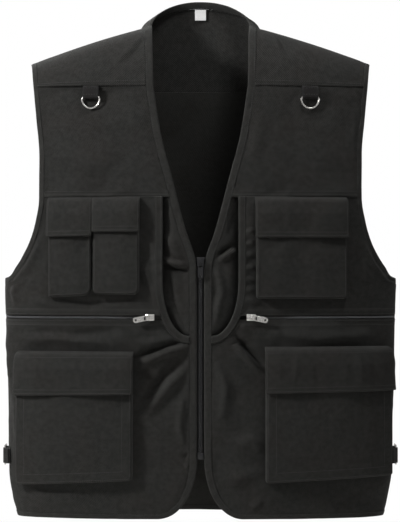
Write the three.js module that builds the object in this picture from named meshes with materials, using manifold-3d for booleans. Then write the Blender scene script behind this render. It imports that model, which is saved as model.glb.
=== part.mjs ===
// Utility work vest, hung as on shoulders: front towards -Y, +Z up, millimetres.
// The origin is where the vest sits on the neck: mid depth, at the height of the shoulder-neck points.
import * as THREE from "three";
import Module from "manifold-3d";
import { mergeVertices } from "three/addons/utils/BufferGeometryUtils.js";

const wasm = await Module();
wasm.setup();

// Driving dimensions
const BODY_LENGTH = 672; // shoulder-neck point down to the hem
const HALF_CHEST = 269; // half the width across the underarms
const HALF_DEPTH = 66; // half the depth of the hung body
const NECK_HALF = 67; // half the neck opening at the shoulder-neck points
const NECK_RISE = 40; // back neck above the shoulder-neck points
const NECK_SETBACK = 50; // back neck behind them
const NECK_FULLNESS = 14; // height of the fullness on the back yoke beside the neck
const NECK_FULL_REACH = 24; // how fast that fullness fades sideways
const SHOULDER_HALF = 230; // half the width across the shoulder tips
const SHOULDER_SLOPE = 0.22; // fall of the shoulder line outwards from the neck
const SHOULDER_CURVE = 0.00055; // further fall with the square of that distance
const NECK_LEAN = { back: 0.4, down: 0.9 }; // how the back neck binding leans, for its width
const YOKE_NECK_REACH = 1.4; // the neck's columns on the back yoke seam, as a share of NECK_HALF
const CLOTH = 1.6; // wall of the body cloth
const SEAM_GAP = 0.4; // clearance between pieces that meet
const ARM_CLEAR = 0.4; // the same beside an armhole binding, in degrees of the section

// Bindings and hems
const BAND = 10; // width of the front and neck binding
const ARM_BAND = 7;
const HEM_BAND = 7;
const BAND_WALL = 3;
const NECK_CLEAR = 2; // extra seam gaps behind the neck, where the binding leans on the yoke
const SLOT_BAND = 9; // folded hem of the hand-pocket slot
const SLOT_WALL = 2.2;

// Body section: |x/half|^n + |y/depth|^n = 1
const SECTION_POWER = 2.3;
const SIDE_ANGLE = 89.8; // where front and back meet, short of 90 by the seam gap

// Heights as shares of the body length below the shoulder-neck points
const YOKE_AT = 0.128;
const CHEST_AT = 0.3506;
const ZIP_AT = 0.594;
const SLOT_END_AT = 0.632;
const SLOT_TURN_AT = 0.521;
const ZIP_TOP_AT = 0.473;
const CORNER_AT = 0.8795; // where the front edge starts to round into the hem

const PLACKET_HALF = 5; // front edges each side of the centre line
const CORNER_HALF = 58; // reach of the rounded front corner from the centre
const SLOT_HALF = 52; // slot edge from the centre line
const ZIP_SLIT = 7; // opening over a zip's coil
const LAYER_LIFT = 2.6; // outer pocket panel over the under panel
const LAYER_EASE = { from: 0.33, to: 0.55 }; // where that lift fades, as shares of HALF_CHEST
const HEM_SETTLE = { from: 0.573, to: 0.604, lift: 0.9 }; // where the slot hem comes down
const UNDER_TUCK = { at: 0.573, over: 15, reach: 0.3 }; // hidden edge of the under panel above it
const UNDER_END = 2; // under panel short of the slot's end

// Half width and half depth of the torso, as shares of HALF_CHEST and HALF_DEPTH
const TORSO = [
  { at: 0.128, half: 0.996, depth: 0.91 },
  { at: 0.3506, half: 1.0186, depth: 1.0 },
  { at: 0.5238, half: 1.0, depth: 1.0 },
  { at: 0.622, half: 0.995, depth: 0.98 },
  { at: 0.766, half: 0.985, depth: 0.95 },
  { at: 0.909, half: 0.98, depth: 0.92 },
  { at: 0.967, half: 0.957, depth: 0.91 },
  { at: 1.0, half: 0.937, depth: 0.9 },
];

// Free front edge below the yoke, as shares of NECK_HALF
const V_NECK = [
  { at: 0.128, half: 0.955 },
  { at: 0.223, half: 0.806 },
  { at: 0.3155, half: 0.567 },
  { at: 0.4167, half: 0.303 },
  { at: 0.473, half: 0.113 },
  { at: 0.494, half: 0.075 },
];

// Armhole edge from the yoke down to the side seam: half as a share of HALF_CHEST,
// lean the way into the cloth, 0 level and 90 straight down
const ARMHOLE = [
  { at: 0.128, half: 0.851, lean: 0 },
  { at: 0.195, half: 0.8327, lean: 0 },
  { at: 0.268, half: 0.816, lean: 0 },
  { at: 0.3506, half: 0.8164, lean: 0 },
  { at: 0.3988, half: 0.8346, lean: 12 },
  { at: 0.4375, half: 0.866, lean: 28 },
  { at: 0.4673, half: 0.905, lean: 42 },
  { at: 0.4926, half: 0.952, lean: 56 },
  { at: 0.512, half: 0.985, lean: 72 },
  { at: 0.5208, half: 1.1, lean: 90 },
];
const CHEST_ROW = 3; // the row of ARMHOLE on the chest seam
const ARM_STEPS = [0, 0.5, 1, 1.5, 2, 2.5, 3, 4, 5, 6, 7, 8, 9];

// Pockets: side -1 left, 1 right; inner and outer as shares of HALF_CHEST, the rest of BODY_LENGTH;
// rise is how much higher the right end lies than the left one
const POCKETS = [
  { node: "chest_left_outer", side: -1, inner: 0.558, outer: 0.773, top: 0.3535, flap: 0.43,
    bottom: 0.5506, bulge: 9, rise: 3 },
  { node: "chest_left_inner", side: -1, inner: 0.315, outer: 0.5465, top: 0.3535, flap: 0.4204,
    bottom: 0.547, bulge: 9, rise: 0 },
  { node: "chest_right", side: 1, inner: 0.285, outer: 0.7435, top: 0.3535, flap: 0.432,
    bottom: 0.555, bulge: 9, rise: 0 },
  { node: "lower_left", side: -1, inner: 0.349, outer: 0.933, top: 0.6637, flap: 0.7485,
    bottom: 0.927, bulge: 13, rise: 8 },
  { node: "lower_right", side: 1, inner: 0.3346, outer: 0.963, top: 0.654, flap: 0.7426,
    bottom: 0.9204, bulge: 13, rise: 8 },
];
const POCKET_EDGE = 2; // sewn edge of a pocket over the panel
const POCKET_MOUTH = 0.018; // mouth of the pouch below the flap's top
const FLAP_CLEAR = 3.2; // flap over the pouch
const FLAP_OVERHANG = 1; // flap wider than its pouch, each side
const POCKET_STEP = 22; // width between the lines a pocket is divided on
const POUCH_GUSSET = 3; // how far in from its edge a pouch stands up
const POUCH_FLAT = 2.5; // gussets in from its edge where its face is level
const POUCH_SHOULDER = 0.8; // stand of a pouch one gusset in, as a share of its bulge

// A pouch from its mouth down to its bottom: stand as a share of the bulge
const POUCH_ROWS = [
  { at: 0, stand: 0.7 },
  { at: 0.35, stand: 0.9 },
  { at: 0.7, stand: 1 },
];

// A flap below its hinge: at as a share of its height, clear as a share of FLAP_CLEAR
const FLAP_HINGE = { down: 0.45, stand: 0.8 }; // shares of POCKET_MOUTH and of the bulge
const FLAP_ROWS = [
  { at: 0.4, clear: 1 },
  { at: 0.75, clear: 1 },
  { at: 1, clear: 1.2 },
];

// Zips: slider, its puller, chain, coil and tapes
const SLIDER = {
  width: 8.8, length: 12, thick: 2.6, neck: 2.6, neckInset: 3, arch: 4.1, archReach: 4.5,
  archWidth: 1.6, archWire: 1.5, sunk: 0.5,
};
const PULLER = {
  wide: 7.6, long: 22, thick: 1.5, bar: 1.5, eyeWidth: 4.6, eye: { half: 3.6, end: 7 },
  shoulder: 2, hole: 1.5, stand: 1.5, drop: 1.1,
};
const PULLER_DROOP = 0.2; // radians that a side-lying puller sags
const SLIDER_STAND = 3.8; // pocket slider over the body surface
const FRONT_SLIDER_STAND = 0.4;
const CHAIN = { wide: 5.6, back: -2.2, outer: 0.6 };
const COIL = { wide: 3.6, back: -1.4, outer: 1 };
const TAPE_WIDTH = 13;
const TAPE_WALL = 0.8;
const TAPE_BEHIND = 2.6;
const POCKET_ZIP_END = 84; // section angle where a pocket zip ends, short of the side seam
const BOTTOM_BOX = { wide: 8, high: 9, half: 1.6 };
const ZIP_START = 1; // pocket zip past the slot hem

// D-rings hang from cloth tabs sewn in at the yoke seam
const D_RING = { half: 12.4, high: 14, wire: 1.2, out: 0.5502 * HALF_CHEST, stand: 4.1 };
const D_TAB = { half: 10.4, up: 15, wall: 1.2, back: 1.3, short: 1 };

// Side adjusters
const SLIDE_Z = -0.878 * BODY_LENGTH;
const SLIDE = { wide: 24, high: 27, bar: 2.4, thick: 2, stand: 5.4, behind: 10 };
const STRAP = {
  half: 10, wall: 1.4, lift: 2.2, layer: 2.4, ease: 1,
  front: { from: 79, to: 85, off: 82 },
  rear: { from: 52, to: 72, off: 60 },
};

const LABEL = { half: 7.5, top: 8, bottom: 30, inwards: 3.4, wall: 0.6 };

// Materials
const material = (color, roughness, metalness = 0) =>
  new THREE.MeshStandardMaterial({ color, roughness, metalness });
const TWILL = material("#2b2b2b", 0.92);
const TWILL_INSIDE = material("#222222", 0.94);
const BINDING = material("#2f2f2e", 0.88);
const WEBBING = material("#262626", 0.9);
const NICKEL = material("#d6d6d8", 0.22, 1);
const BLACK_METAL = material("#2a2a2c", 0.35, 1);
const NYLON = material("#5b5b5d", 0.5);
const SATIN = material("#f1f1ee", 0.8);

const vest = new THREE.Group();
const radians = (degrees) => (degrees * Math.PI) / 180;
const down = (share) => -share * BODY_LENGTH;
const lerp = THREE.MathUtils.lerp;
const spread = (from, to, steps) =>
  Array.from({ length: steps + 1 }, (_, k) => lerp(from, to, k / steps));

// A column of a table at a height share, smooth between the rows and level past the ends
function column(table, name, at) {
  const last = table.length - 1;
  const next = table.findIndex((row) => row.at >= at);
  if (next === 0) return table[0][name];
  if (next === -1) return table[last][name];
  const [before, after] = [table[next - 1], table[next]];
  const slope = (a, b) => (b[name] - a[name]) / (b.at - a.at);
  const here = slope(before, after);
  const blend = (other) => (other * here <= 0 ? 0 : (2 * other * here) / (other + here));
  const start = next > 1 ? blend(slope(table[next - 2], before)) : here;
  const end = next < last ? blend(slope(after, table[next + 1])) : here;
  const width = after.at - before.at;
  const t = (at - before.at) / width;
  return (
    before[name] * (2 * t ** 3 - 3 * t ** 2 + 1) +
    after[name] * (3 * t ** 2 - 2 * t ** 3) +
    start * width * (t ** 3 - 2 * t ** 2 + t) +
    end * width * (t ** 3 - t ** 2)
  );
}

const torsoHalf = (z) => HALF_CHEST * column(TORSO, "half", -z / BODY_LENGTH);
const torsoDepth = (z) => HALF_DEPTH * column(TORSO, "depth", -z / BODY_LENGTH);

// Section angle, 0 at the centre and 90 at the side, of a distance from the centre line
function angleOf(x, z) {
  const share = Math.min(Math.abs(x) / torsoHalf(z), 1);
  return (Math.sign(x) * Math.asin(share ** (SECTION_POWER / 2)) * 180) / Math.PI;
}

// A point of the torso: face -1 front or 1 back, lifted outwards
function bodyPoint(face, angle, z, lift = 0) {
  const turn = radians(Math.abs(angle));
  const [half, depth] = [torsoHalf(z), torsoDepth(z)];
  const x = half * Math.sin(turn) ** (2 / SECTION_POWER);
  const y = depth * Math.max(Math.cos(turn), 0) ** (2 / SECTION_POWER);
  const out = new THREE.Vector2(
    x ** (SECTION_POWER - 1) / half ** SECTION_POWER,
    y ** (SECTION_POWER - 1) / depth ** SECTION_POWER,
  ).normalize();
  const side = angle < 0 ? -1 : 1;
  return new THREE.Vector3(side * (x + out.x * lift), face * (y + out.y * lift), z);
}

const frontAt = (x, z, lift = 0) => bodyPoint(-1, angleOf(x, z), z, lift);

// Shoulder line: height of the top fold at a distance from the centre line
const shoulderTop = (x) => {
  const out = Math.abs(x) - NECK_HALF;
  return -(SHOULDER_SLOPE * out + SHOULDER_CURVE * out * out);
};

// A point of the front yoke, turn 0 on the yoke seam and 90 on the shoulder line
function yokeFront(x, turn) {
  const seam = down(YOKE_AT) + SEAM_GAP;
  const depth = -frontAt(x, seam).y;
  return new THREE.Vector3(
    x,
    -depth * Math.cos(radians(turn)),
    seam + (shoulderTop(x) - seam) * Math.sin(radians(turn)),
  );
}

// A point of the back yoke between a point of its top edge and one of its seam;
// the cloth stands fuller beside the neck
function yokeBack(top, seam, turn) {
  const out = Math.sin(radians(turn));
  const beside = Math.abs(Math.abs(top.x) - NECK_HALF);
  const fullness = NECK_FULLNESS * Math.exp(-beside / NECK_FULL_REACH);
  return new THREE.Vector3(
    lerp(top.x, seam.x, out),
    lerp(top.y, seam.y, out),
    lerp(seam.z, top.z, Math.cos(radians(turn))) + fullness * Math.sin(radians(2 * turn)),
  );
}

// A geometry from points and triangles, turned to face out
function solid(points, triangles) {
  const at = (i) => points[i];
  const volume = triangles.reduce(
    (sum, [a, b, c]) => sum + at(a).dot(new THREE.Vector3().crossVectors(at(b), at(c))),
    0,
  );
  const index = volume < 0 ? triangles.map(([a, b, c]) => [a, c, b]) : triangles;
  const geometry = new THREE.BufferGeometry().setFromPoints(points);
  geometry.setIndex(index.flat());
  geometry.computeVertexNormals();
  return geometry;
}

// Cloth of one wall over patches, each a list of rows of points; patches that share points are joined
function cloth(patches, wall = CLOTH) {
  const points = [];
  const known = new Map();
  const quads = [];
  const indexOf = (p) => {
    const key = [p.x, p.y, p.z].map((v) => Math.round(v * 1000)).join();
    if (!known.has(key)) known.set(key, points.push(p) - 1);
    return known.get(key);
  };
  for (const rows of patches)
    for (let r = 0; r + 1 < rows.length; r++)
      for (let c = 0; c + 1 < rows[r].length; c++)
        quads.push(
          [rows[r][c], rows[r][c + 1], rows[r + 1][c + 1], rows[r + 1][c]].map(indexOf),
        );
  const normals = points.map(() => new THREE.Vector3());
  const edges = new Map();
  for (const quad of quads) {
    const [a, b, c, d] = quad.map((i) => points[i]);
    const normal = c.clone().sub(a).cross(d.clone().sub(b));
    quad.forEach((i) => normals[i].add(normal));
    quad.forEach((from, k) => {
      const to = quad[(k + 1) % 4];
      if (from !== to && !edges.delete(to + "," + from)) edges.set(from + "," + to, [from, to]);
    });
  }
  const count = points.length;
  const shells = [0.5, -0.5].flatMap((share) =>
    points.map((p, i) => p.clone().addScaledVector(normals[i].normalize(), wall * share)),
  );
  const triangles = [];
  const face = (a, b, c) => {
    if (a !== b && b !== c && c !== a) triangles.push([a, b, c]);
  };
  for (const [a, b, c, d] of quads) {
    face(a, b, c);
    face(a, c, d);
    face(count + a, count + c, count + b);
    face(count + a, count + d, count + c);
  }
  for (const [a, b] of edges.values()) {
    face(b, a, count + a);
    face(b, count + a, count + b);
  }
  return solid(shells, triangles);
}

// A solid through rings of points; closed joins the last ring to the first
function loft(rings, closed = false) {
  const size = rings[0].length;
  const triangles = [];
  const rounds = closed ? rings.length : rings.length - 1;
  for (let r = 0; r < rounds; r++)
    for (let k = 0; k < size; k++) {
      const [a, b] = [r * size + k, r * size + ((k + 1) % size)];
      const next = ((r + 1) % rings.length) * size;
      const [c, d] = [next + ((k + 1) % size), next + k];
      triangles.push([a, b, c], [a, c, d]);
    }
  const end = (rings.length - 1) * size;
  for (let k = 1; !closed && k + 1 < size; k++)
    triangles.push([0, k + 1, k], [end, end + k, end + k + 1]);
  return solid(rings.flat(), triangles);
}

// A flat outline given a thickness, standing in the XZ plane with its outer face towards -Y
function plate(shape, thick) {
  const geometry = new THREE.ExtrudeGeometry(shape, { depth: thick, bevelEnabled: false });
  return geometry.rotateX(Math.PI / 2).translate(0, thick / 2, 0);
}

// Several closed geometries joined into one
function join(geometries) {
  const parts = geometries.map((geometry) => {
    const bare = geometry.clone();
    bare.deleteAttribute("normal");
    bare.deleteAttribute("uv");
    const merged = mergeVertices(bare, 1e-4);
    return new wasm.Manifold(
      new wasm.Mesh({
        numProp: 3,
        vertProperties: merged.attributes.position.array,
        triVerts: new Uint32Array(merged.index.array),
      }),
    );
  });
  const joined = parts.reduce((sum, part) => sum.add(part)).getMesh();
  const geometry = new THREE.BufferGeometry();
  geometry.setAttribute("position", new THREE.BufferAttribute(joined.vertProperties, 3));
  geometry.setIndex(new THREE.BufferAttribute(joined.triVerts, 1));
  geometry.computeVertexNormals();
  return geometry;
}

function add(name, geometry, finish, parent = vest) {
  const mesh = new THREE.Mesh(geometry, finish);
  mesh.name = name;
  parent.add(mesh);
  return mesh;
}

const sideName = (side) => (side < 0 ? "left" : "right");

// Armhole edge and the line a binding's width inside it, at a step along the ARMHOLE table
function armholePair(face, side, step) {
  const [low, part] = [Math.floor(step), step % 1];
  const row = ARMHOLE[low];
  const after = ARMHOLE[Math.min(low + 1, ARMHOLE.length - 1)];
  const z = down(lerp(row.at, after.at, part));
  const lean = radians(lerp(row.lean, after.lean, part));
  const angle = angleOf(lerp(row.half, after.half, part) * HALF_CHEST, z);
  const perDegree = bodyPoint(face, angle - 1, z).distanceTo(bodyPoint(face, angle, z));
  const inset = angle - (ARM_BAND * Math.cos(lean)) / perDegree;
  const insetZ = z - ARM_BAND * Math.sin(lean);
  return {
    edge: bodyPoint(face, side * angle, z),
    inset: bodyPoint(face, side * inset, insetZ),
    angle: Math.min(inset, SIDE_ANGLE),
    z: insetZ,
  };
}

const ARM_ROWS = ARM_STEPS.map((step) => armholePair(-1, 1, step));
const UPPER_ROWS = ARM_ROWS.slice(0, ARM_STEPS.indexOf(CHEST_ROW) + 1);
const POCKET_ROWS = ARM_ROWS.slice(ARM_STEPS.indexOf(CHEST_ROW));

// Free front edge at a height, and the inner line of its binding
const frontEdge = (z) =>
  Math.max(NECK_HALF * column(V_NECK, "half", -z / BODY_LENGTH), PLACKET_HALF);
function frontInset(z) {
  const slope = frontEdge(z + 1) - frontEdge(z - 1);
  return frontEdge(z) + BAND * Math.hypot(1, slope / 2);
}

// Slot edge of the hand pocket: straight, then a quarter ellipse in to the front edge;
// out is the distance of a parallel line from that edge
const SLOT_CENTRE = PLACKET_HALF + BAND + SEAM_GAP;
const slotFall = (out) => down(SLOT_TURN_AT) - down(SLOT_END_AT) + out;
function slotHalf(z, out = 0) {
  const share = (down(SLOT_TURN_AT) - z) / slotFall(out);
  const reach = SLOT_HALF - SLOT_CENTRE + out;
  return SLOT_CENTRE + reach * Math.sqrt(1 - THREE.MathUtils.clamp(share, 0, 1) ** 2);
}
const slotHeight = (turn, out) => down(SLOT_TURN_AT) - slotFall(out) * Math.sin(radians(turn));
const SLOT_TURNS = spread(0, 90, 6);
const SLOT_ROWS = SLOT_TURNS.slice(1).map((turn) => slotHeight(turn, SLOT_BAND));

// Lift of the outer pocket layer: none at the side, full near the slot
const outerLift = (x) => {
  const [from, to] = [LAYER_EASE.from * HALF_CHEST, LAYER_EASE.to * HALF_CHEST];
  return LAYER_LIFT * (1 - THREE.MathUtils.smoothstep(Math.abs(x), from, to));
};

// A grid of the front between two angles given for each row
const frontRows = (rows, side, columns, lift = () => 0) =>
  rows.map(({ z, from, to }) =>
    spread(from, to, columns).map((angle) => {
      const x = bodyPoint(-1, angle, z).x;
      return bodyPoint(-1, side * angle, z, lift(x, z));
    }),
  );

// Yoke: both fronts and the back are one piece over the shoulders
const YOKE_TURNS = spread(0, 90, 5);
const NECK_TURNS = spread(0, 90, 5);
const SHOULDER_COLUMNS = 7;
const backNeck = (turn) =>
  new THREE.Vector3(
    NECK_HALF * Math.cos(radians(turn)),
    NECK_SETBACK * Math.sin(radians(turn)),
    NECK_RISE * Math.sin(radians(turn)),
  );
const backNeckInset = (turn, width = BAND) => {
  const [across, back] = [Math.cos(radians(turn)), Math.sin(radians(turn))];
  const half = NECK_HALF + width;
  return new THREE.Vector3(
    half * across,
    (NECK_SETBACK + NECK_LEAN.back * width) * back,
    (NECK_RISE - NECK_LEAN.down * width) * back + shoulderTop(half) * across,
  );
};
const backSeam = (x) => {
  const z = down(YOKE_AT) + SEAM_GAP;
  return bodyPoint(1, angleOf(x, z), z);
};

// Distances from the centre line at which the shoulder is divided, inside both bindings
const shoulderColumns = (neck, arm) => spread(neck, arm, SHOULDER_COLUMNS);
const yokeNeckHalf = (turn) =>
  lerp(frontInset(down(YOKE_AT)), NECK_HALF + BAND, turn / 90) + SEAM_GAP;
const yokeArmHalf = (turn) => {
  const seam = Math.abs(ARM_ROWS[0].inset.x);
  return lerp(seam, SHOULDER_HALF - ARM_BAND, turn / 90) - SEAM_GAP;
};

function yokePatches() {
  const front = (side) =>
    YOKE_TURNS.map((turn) =>
      shoulderColumns(yokeNeckHalf(turn), yokeArmHalf(turn)).map((x) => yokeFront(side * x, turn)),
    );
  const seamNeck = NECK_HALF * YOKE_NECK_REACH;
  const seamArm = yokeArmHalf(0);
  const half = (side) => {
    const neck = [...NECK_TURNS].reverse().map((turn) => {
      const clear = SEAM_GAP * (1 + NECK_CLEAR * Math.sin(radians(turn)));
      const top = backNeckInset(turn, BAND + clear);
      const seamX = seamNeck * Math.cos(radians(turn));
      return { top: new THREE.Vector3(side * top.x, top.y, top.z), seamX };
    });
    const shoulder = shoulderColumns(yokeNeckHalf(90), yokeArmHalf(90))
      .map((x, k, all) => ({
        top: yokeFront(side * x, 90),
        seamX: lerp(seamNeck, seamArm, k / (all.length - 1)),
      }))
      .slice(1);
    neck[neck.length - 1].top = yokeFront(side * yokeNeckHalf(90), 90);
    return [...neck, ...shoulder].map(({ top, seamX }) => ({
      top,
      seam: backSeam(side * seamX),
    }));
  };
  const columns = [...half(-1).slice(1).reverse(), ...half(1)];
  const back = YOKE_TURNS.map((turn) =>
    columns.map(({ top, seam }) => yokeBack(top, seam, turn)),
  );
  return [front(-1).map((row) => row.reverse()), front(1), back];
}
add("yoke", cloth(yokePatches()), TWILL);

// Back panel
const BACK_COLUMNS = 14;
const HEM_SPLIT = 4; // columns of the back hem's side pieces
const PANEL_COLUMNS = { chest: 8, pocket: 10, under: 4, lower: 10 };
const ROW_APART = 1; // least height between two rows of a panel
const HEM_LINE = -BODY_LENGTH + HEM_BAND;
const CORNER_TURNS = spread(0, 90, 5);
const cornerRows = CORNER_TURNS.map((turn) => {
  const depth = down(CORNER_AT) - HEM_LINE;
  return down(CORNER_AT) - depth * Math.sin(radians(turn));
});
const zipTop = down(ZIP_AT) + ZIP_SLIT / 2;
const zipBottom = down(ZIP_AT) - ZIP_SLIT / 2;
const ABOVE_ZIP_ROWS = [...SLOT_ROWS.filter((z) => z > zipTop + ROW_APART), zipTop].filter(
  (z) => z < POCKET_ROWS.at(-1).z - ROW_APART,
);
const LOWER_ROWS = [
  zipBottom,
  ...SLOT_ROWS.filter((z) => z < zipBottom - ROW_APART),
  ...spread(SLOT_ROWS.at(-1), down(CORNER_AT), 5).slice(1),
  ...cornerRows.slice(1),
];

// Section angle of a panel's outer edge, clear of the armhole binding
const clearArm = ({ angle }) => angle - (angle < SIDE_ANGLE ? ARM_CLEAR : 0);

function backPanel() {
  const rows = [
    ...ARM_ROWS.map(({ z, angle }) => ({ z, angle })),
    ...[...ABOVE_ZIP_ROWS, ...LOWER_ROWS].map((z) => ({ z, angle: SIDE_ANGLE })),
  ];
  return rows.map((row) => {
    const reach = clearArm(row);
    return spread(-reach, reach, BACK_COLUMNS).map((angle) => bodyPoint(1, angle, row.z));
  });
}
add("back_panel", cloth([backPanel()]), TWILL_INSIDE);

// Front panels of one side
function frontPanels(side) {
  const name = sideName(side);
  const inner = (z) => angleOf(frontInset(z) + SEAM_GAP, z);

  const chest = UPPER_ROWS.map((row) => ({ z: row.z, from: inner(row.z), to: clearArm(row) }));
  add("chest_panel_" + name, cloth([frontRows(chest, side, PANEL_COLUMNS.chest)]), TWILL);

  const pocket = [
    ...POCKET_ROWS.map((row, k) => ({
      z: k ? row.z : row.z - SEAM_GAP,
      to: clearArm(row),
    })),
    ...ABOVE_ZIP_ROWS.map((z) => ({ z, to: SIDE_ANGLE })),
  ].map(({ z, to }) => ({ z, to, from: angleOf(slotHalf(z, SLOT_BAND) + 2 * SEAM_GAP, z) }));
  const layer = frontRows(pocket, side, PANEL_COLUMNS.pocket, outerLift);
  add("pocket_panel_" + name, cloth([layer]), TWILL);

  const slotEnd = down(SLOT_END_AT) + UNDER_END;
  const under = spread(down(CHEST_AT) - SEAM_GAP, slotEnd, 12).map((z) => {
    const hidden = THREE.MathUtils.clamp((z - down(UNDER_TUCK.at)) / UNDER_TUCK.over, 0, 1);
    const reach = lerp(slotHalf(z) - 3 * SEAM_GAP, UNDER_TUCK.reach * HALF_CHEST, hidden);
    return { z, from: inner(z), to: angleOf(reach, z) };
  });
  add("under_panel_" + name, cloth([frontRows(under, side, PANEL_COLUMNS.under)]), TWILL_INSIDE);

  const lower = LOWER_ROWS.map((z) => {
    const round = (down(CORNER_AT) - z) / (down(CORNER_AT) - HEM_LINE);
    const drawn = THREE.MathUtils.clamp(round, 0, 1);
    const reach = CORNER_HALF - PLACKET_HALF - BAND;
    const edge =
      z > down(CORNER_AT)
        ? Math.max(frontInset(z), slotHalf(z, SLOT_BAND) + SEAM_GAP)
        : CORNER_HALF - reach * Math.sqrt(1 - drawn ** 2);
    return { z, from: angleOf(edge + SEAM_GAP, z), to: SIDE_ANGLE };
  });
  lower[lower.length - 1].z += SEAM_GAP;
  add("lower_front_" + name, cloth([frontRows(lower, side, PANEL_COLUMNS.lower)]), TWILL);

  const slotRows = [
    ...spread(down(CHEST_AT) - SEAM_GAP, down(SLOT_TURN_AT), 4).map((z) => [
      frontAt(side * SLOT_HALF, z, LAYER_LIFT),
      frontAt(side * (SLOT_HALF + SLOT_BAND), z, LAYER_LIFT),
    ]),
    ...SLOT_TURNS.slice(1).map((turn) =>
      [0, SLOT_BAND].map((out) => {
        const z = slotHeight(turn, out);
        const x = SLOT_CENTRE + (SLOT_HALF - SLOT_CENTRE + out) * Math.cos(radians(turn));
        const { from, to, lift } = HEM_SETTLE;
        const settled = THREE.MathUtils.smoothstep(-z, -down(from), -down(to));
        return frontAt(side * x, z, lerp(LAYER_LIFT, lift, settled));
      }),
    ),
  ];
  add("slot_hem_" + name, cloth([slotRows], SLOT_WALL), BINDING);
}

// Edge bindings of one half: pairs of edge and inset points, from the side seam to the back neck
function edgePairs() {
  const hemAngles = spread(SIDE_ANGLE, angleOf(CORNER_HALF, HEM_LINE), 10);
  const hem = hemAngles.map((angle) =>
    [-BODY_LENGTH, HEM_LINE].map((z) => bodyPoint(-1, angle, z)),
  );
  const corner = [...CORNER_TURNS].reverse().slice(1).map((turn) =>
    [0, BAND].map((inwards) => {
      const reach = CORNER_HALF - PLACKET_HALF - inwards;
      const fall = BODY_LENGTH + down(CORNER_AT) - (inwards ? HEM_BAND : 0);
      const z = down(CORNER_AT) - fall * Math.sin(radians(turn));
      return frontAt(CORNER_HALF - reach * Math.cos(radians(turn)), z);
    }),
  );
  const edgeRows = [
    ...spread(down(CORNER_AT), down(V_NECK.at(-1).at), 6).slice(1),
    down(ZIP_TOP_AT),
    ...[...UPPER_ROWS, ...POCKET_ROWS.slice(1, 5)].map(({ z }) => z),
  ].sort((a, b) => a - b);
  const edge = edgeRows.map((z) => [frontAt(frontEdge(z), z), frontAt(frontInset(z), z)]);
  const zipTop = edgeRows.indexOf(down(ZIP_TOP_AT));
  const seamEdge = frontEdge(down(YOKE_AT));
  const seamInset = frontInset(down(YOKE_AT));
  const yoke = YOKE_TURNS.slice(1).map((turn) => [
    yokeFront(lerp(seamEdge, NECK_HALF, turn / 90), turn),
    yokeFront(lerp(seamInset, NECK_HALF + BAND, turn / 90), turn),
  ]);
  const neck = NECK_TURNS.slice(1).map((turn) => [backNeck(turn), backNeckInset(turn)]);
  return {
    hem,
    front: [hem.at(-1), ...corner, ...edge.slice(0, zipTop + 1)],
    neck: edge.slice(zipTop),
    collar: [edge.at(-1), ...yoke, ...neck],
  };
}

// A run of pairs whose ends are drawn in from the next run by the seam gap
function clearRun(pairs, start = true, end = true) {
  const drawn = (pair, next) =>
    pair.map((p, k) => p.clone().lerp(next[k], SEAM_GAP / p.distanceTo(next[k])));
  const run = [...pairs];
  if (start) run[0] = drawn(pairs[0], pairs[1]);
  if (end) run[run.length - 1] = drawn(pairs.at(-1), pairs.at(-2));
  return run;
}

const mirrored = (pairs) =>
  pairs.map((pair) => pair.map((p) => new THREE.Vector3(-p.x, p.y, p.z)));

// Armhole binding: a closed loop from the underarm over the shoulder and back
function armholeBinding(side) {
  const rows = (face) => ARM_STEPS.map((step) => armholePair(face, side, step));
  const tip = (turn, inwards) => {
    const edge = lerp(ARM_ROWS[0].edge.x, SHOULDER_HALF, turn / 90);
    const inset = lerp(ARM_ROWS[0].inset.x, SHOULDER_HALF - ARM_BAND, turn / 90);
    return inwards ? inset : edge;
  };
  const over = (turn) => [0, 1].map((inwards) => yokeFront(side * tip(turn, inwards), turn));
  const behind = (turn) =>
    [0, 1].map((inwards) => {
      const top = yokeFront(side * tip(90, inwards), 90);
      return yokeBack(top, backSeam(side * tip(0, inwards)), turn);
    });
  const pair = ({ edge, inset }) => [edge, inset];
  return [
    ...rows(-1).reverse().map(pair),
    ...YOKE_TURNS.slice(1).map(over),
    ...YOKE_TURNS.slice(1, -1).map(behind),
    ...rows(1).map(pair),
  ];
}

for (const side of [-1, 1]) {
  frontPanels(side);
  add("armhole_binding_" + sideName(side), cloth([armholeBinding(side)], BAND_WALL), BINDING);
  const { hem, front, neck } = edgePairs();
  const sided = (pairs) => (side < 0 ? mirrored(pairs) : pairs);
  const tape = (run) => cloth([sided(run)], BAND_WALL);
  add("front_hem_binding_" + sideName(side), tape(clearRun(hem, false)), BINDING);
  add("front_edge_binding_" + sideName(side), tape(clearRun(front)), BINDING);
  add("v_neck_binding_" + sideName(side), tape(clearRun(neck)), BINDING);
}
const rightCollar = edgePairs().collar.reverse();
const collar = [...mirrored(edgePairs().collar), ...rightCollar.slice(1)];
add("back_neck_binding", cloth([clearRun(collar)], BAND_WALL), BINDING);
const backHem = spread(-SIDE_ANGLE, SIDE_ANGLE, BACK_COLUMNS).map((angle) =>
  [-BODY_LENGTH, HEM_LINE - SEAM_GAP].map((z) => bodyPoint(1, angle, z)),
);
const hemParts = [
  { name: "left", from: 0, to: HEM_SPLIT },
  { name: "middle", from: HEM_SPLIT, to: BACK_COLUMNS - HEM_SPLIT },
  { name: "right", from: BACK_COLUMNS - HEM_SPLIT, to: BACK_COLUMNS },
];
for (const { name, from, to } of hemParts) {
  const run = clearRun(backHem.slice(from, to + 1), from > 0, to < BACK_COLUMNS);
  add("back_hem_binding_" + name, cloth([run], BAND_WALL), BINDING);
}

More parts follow.
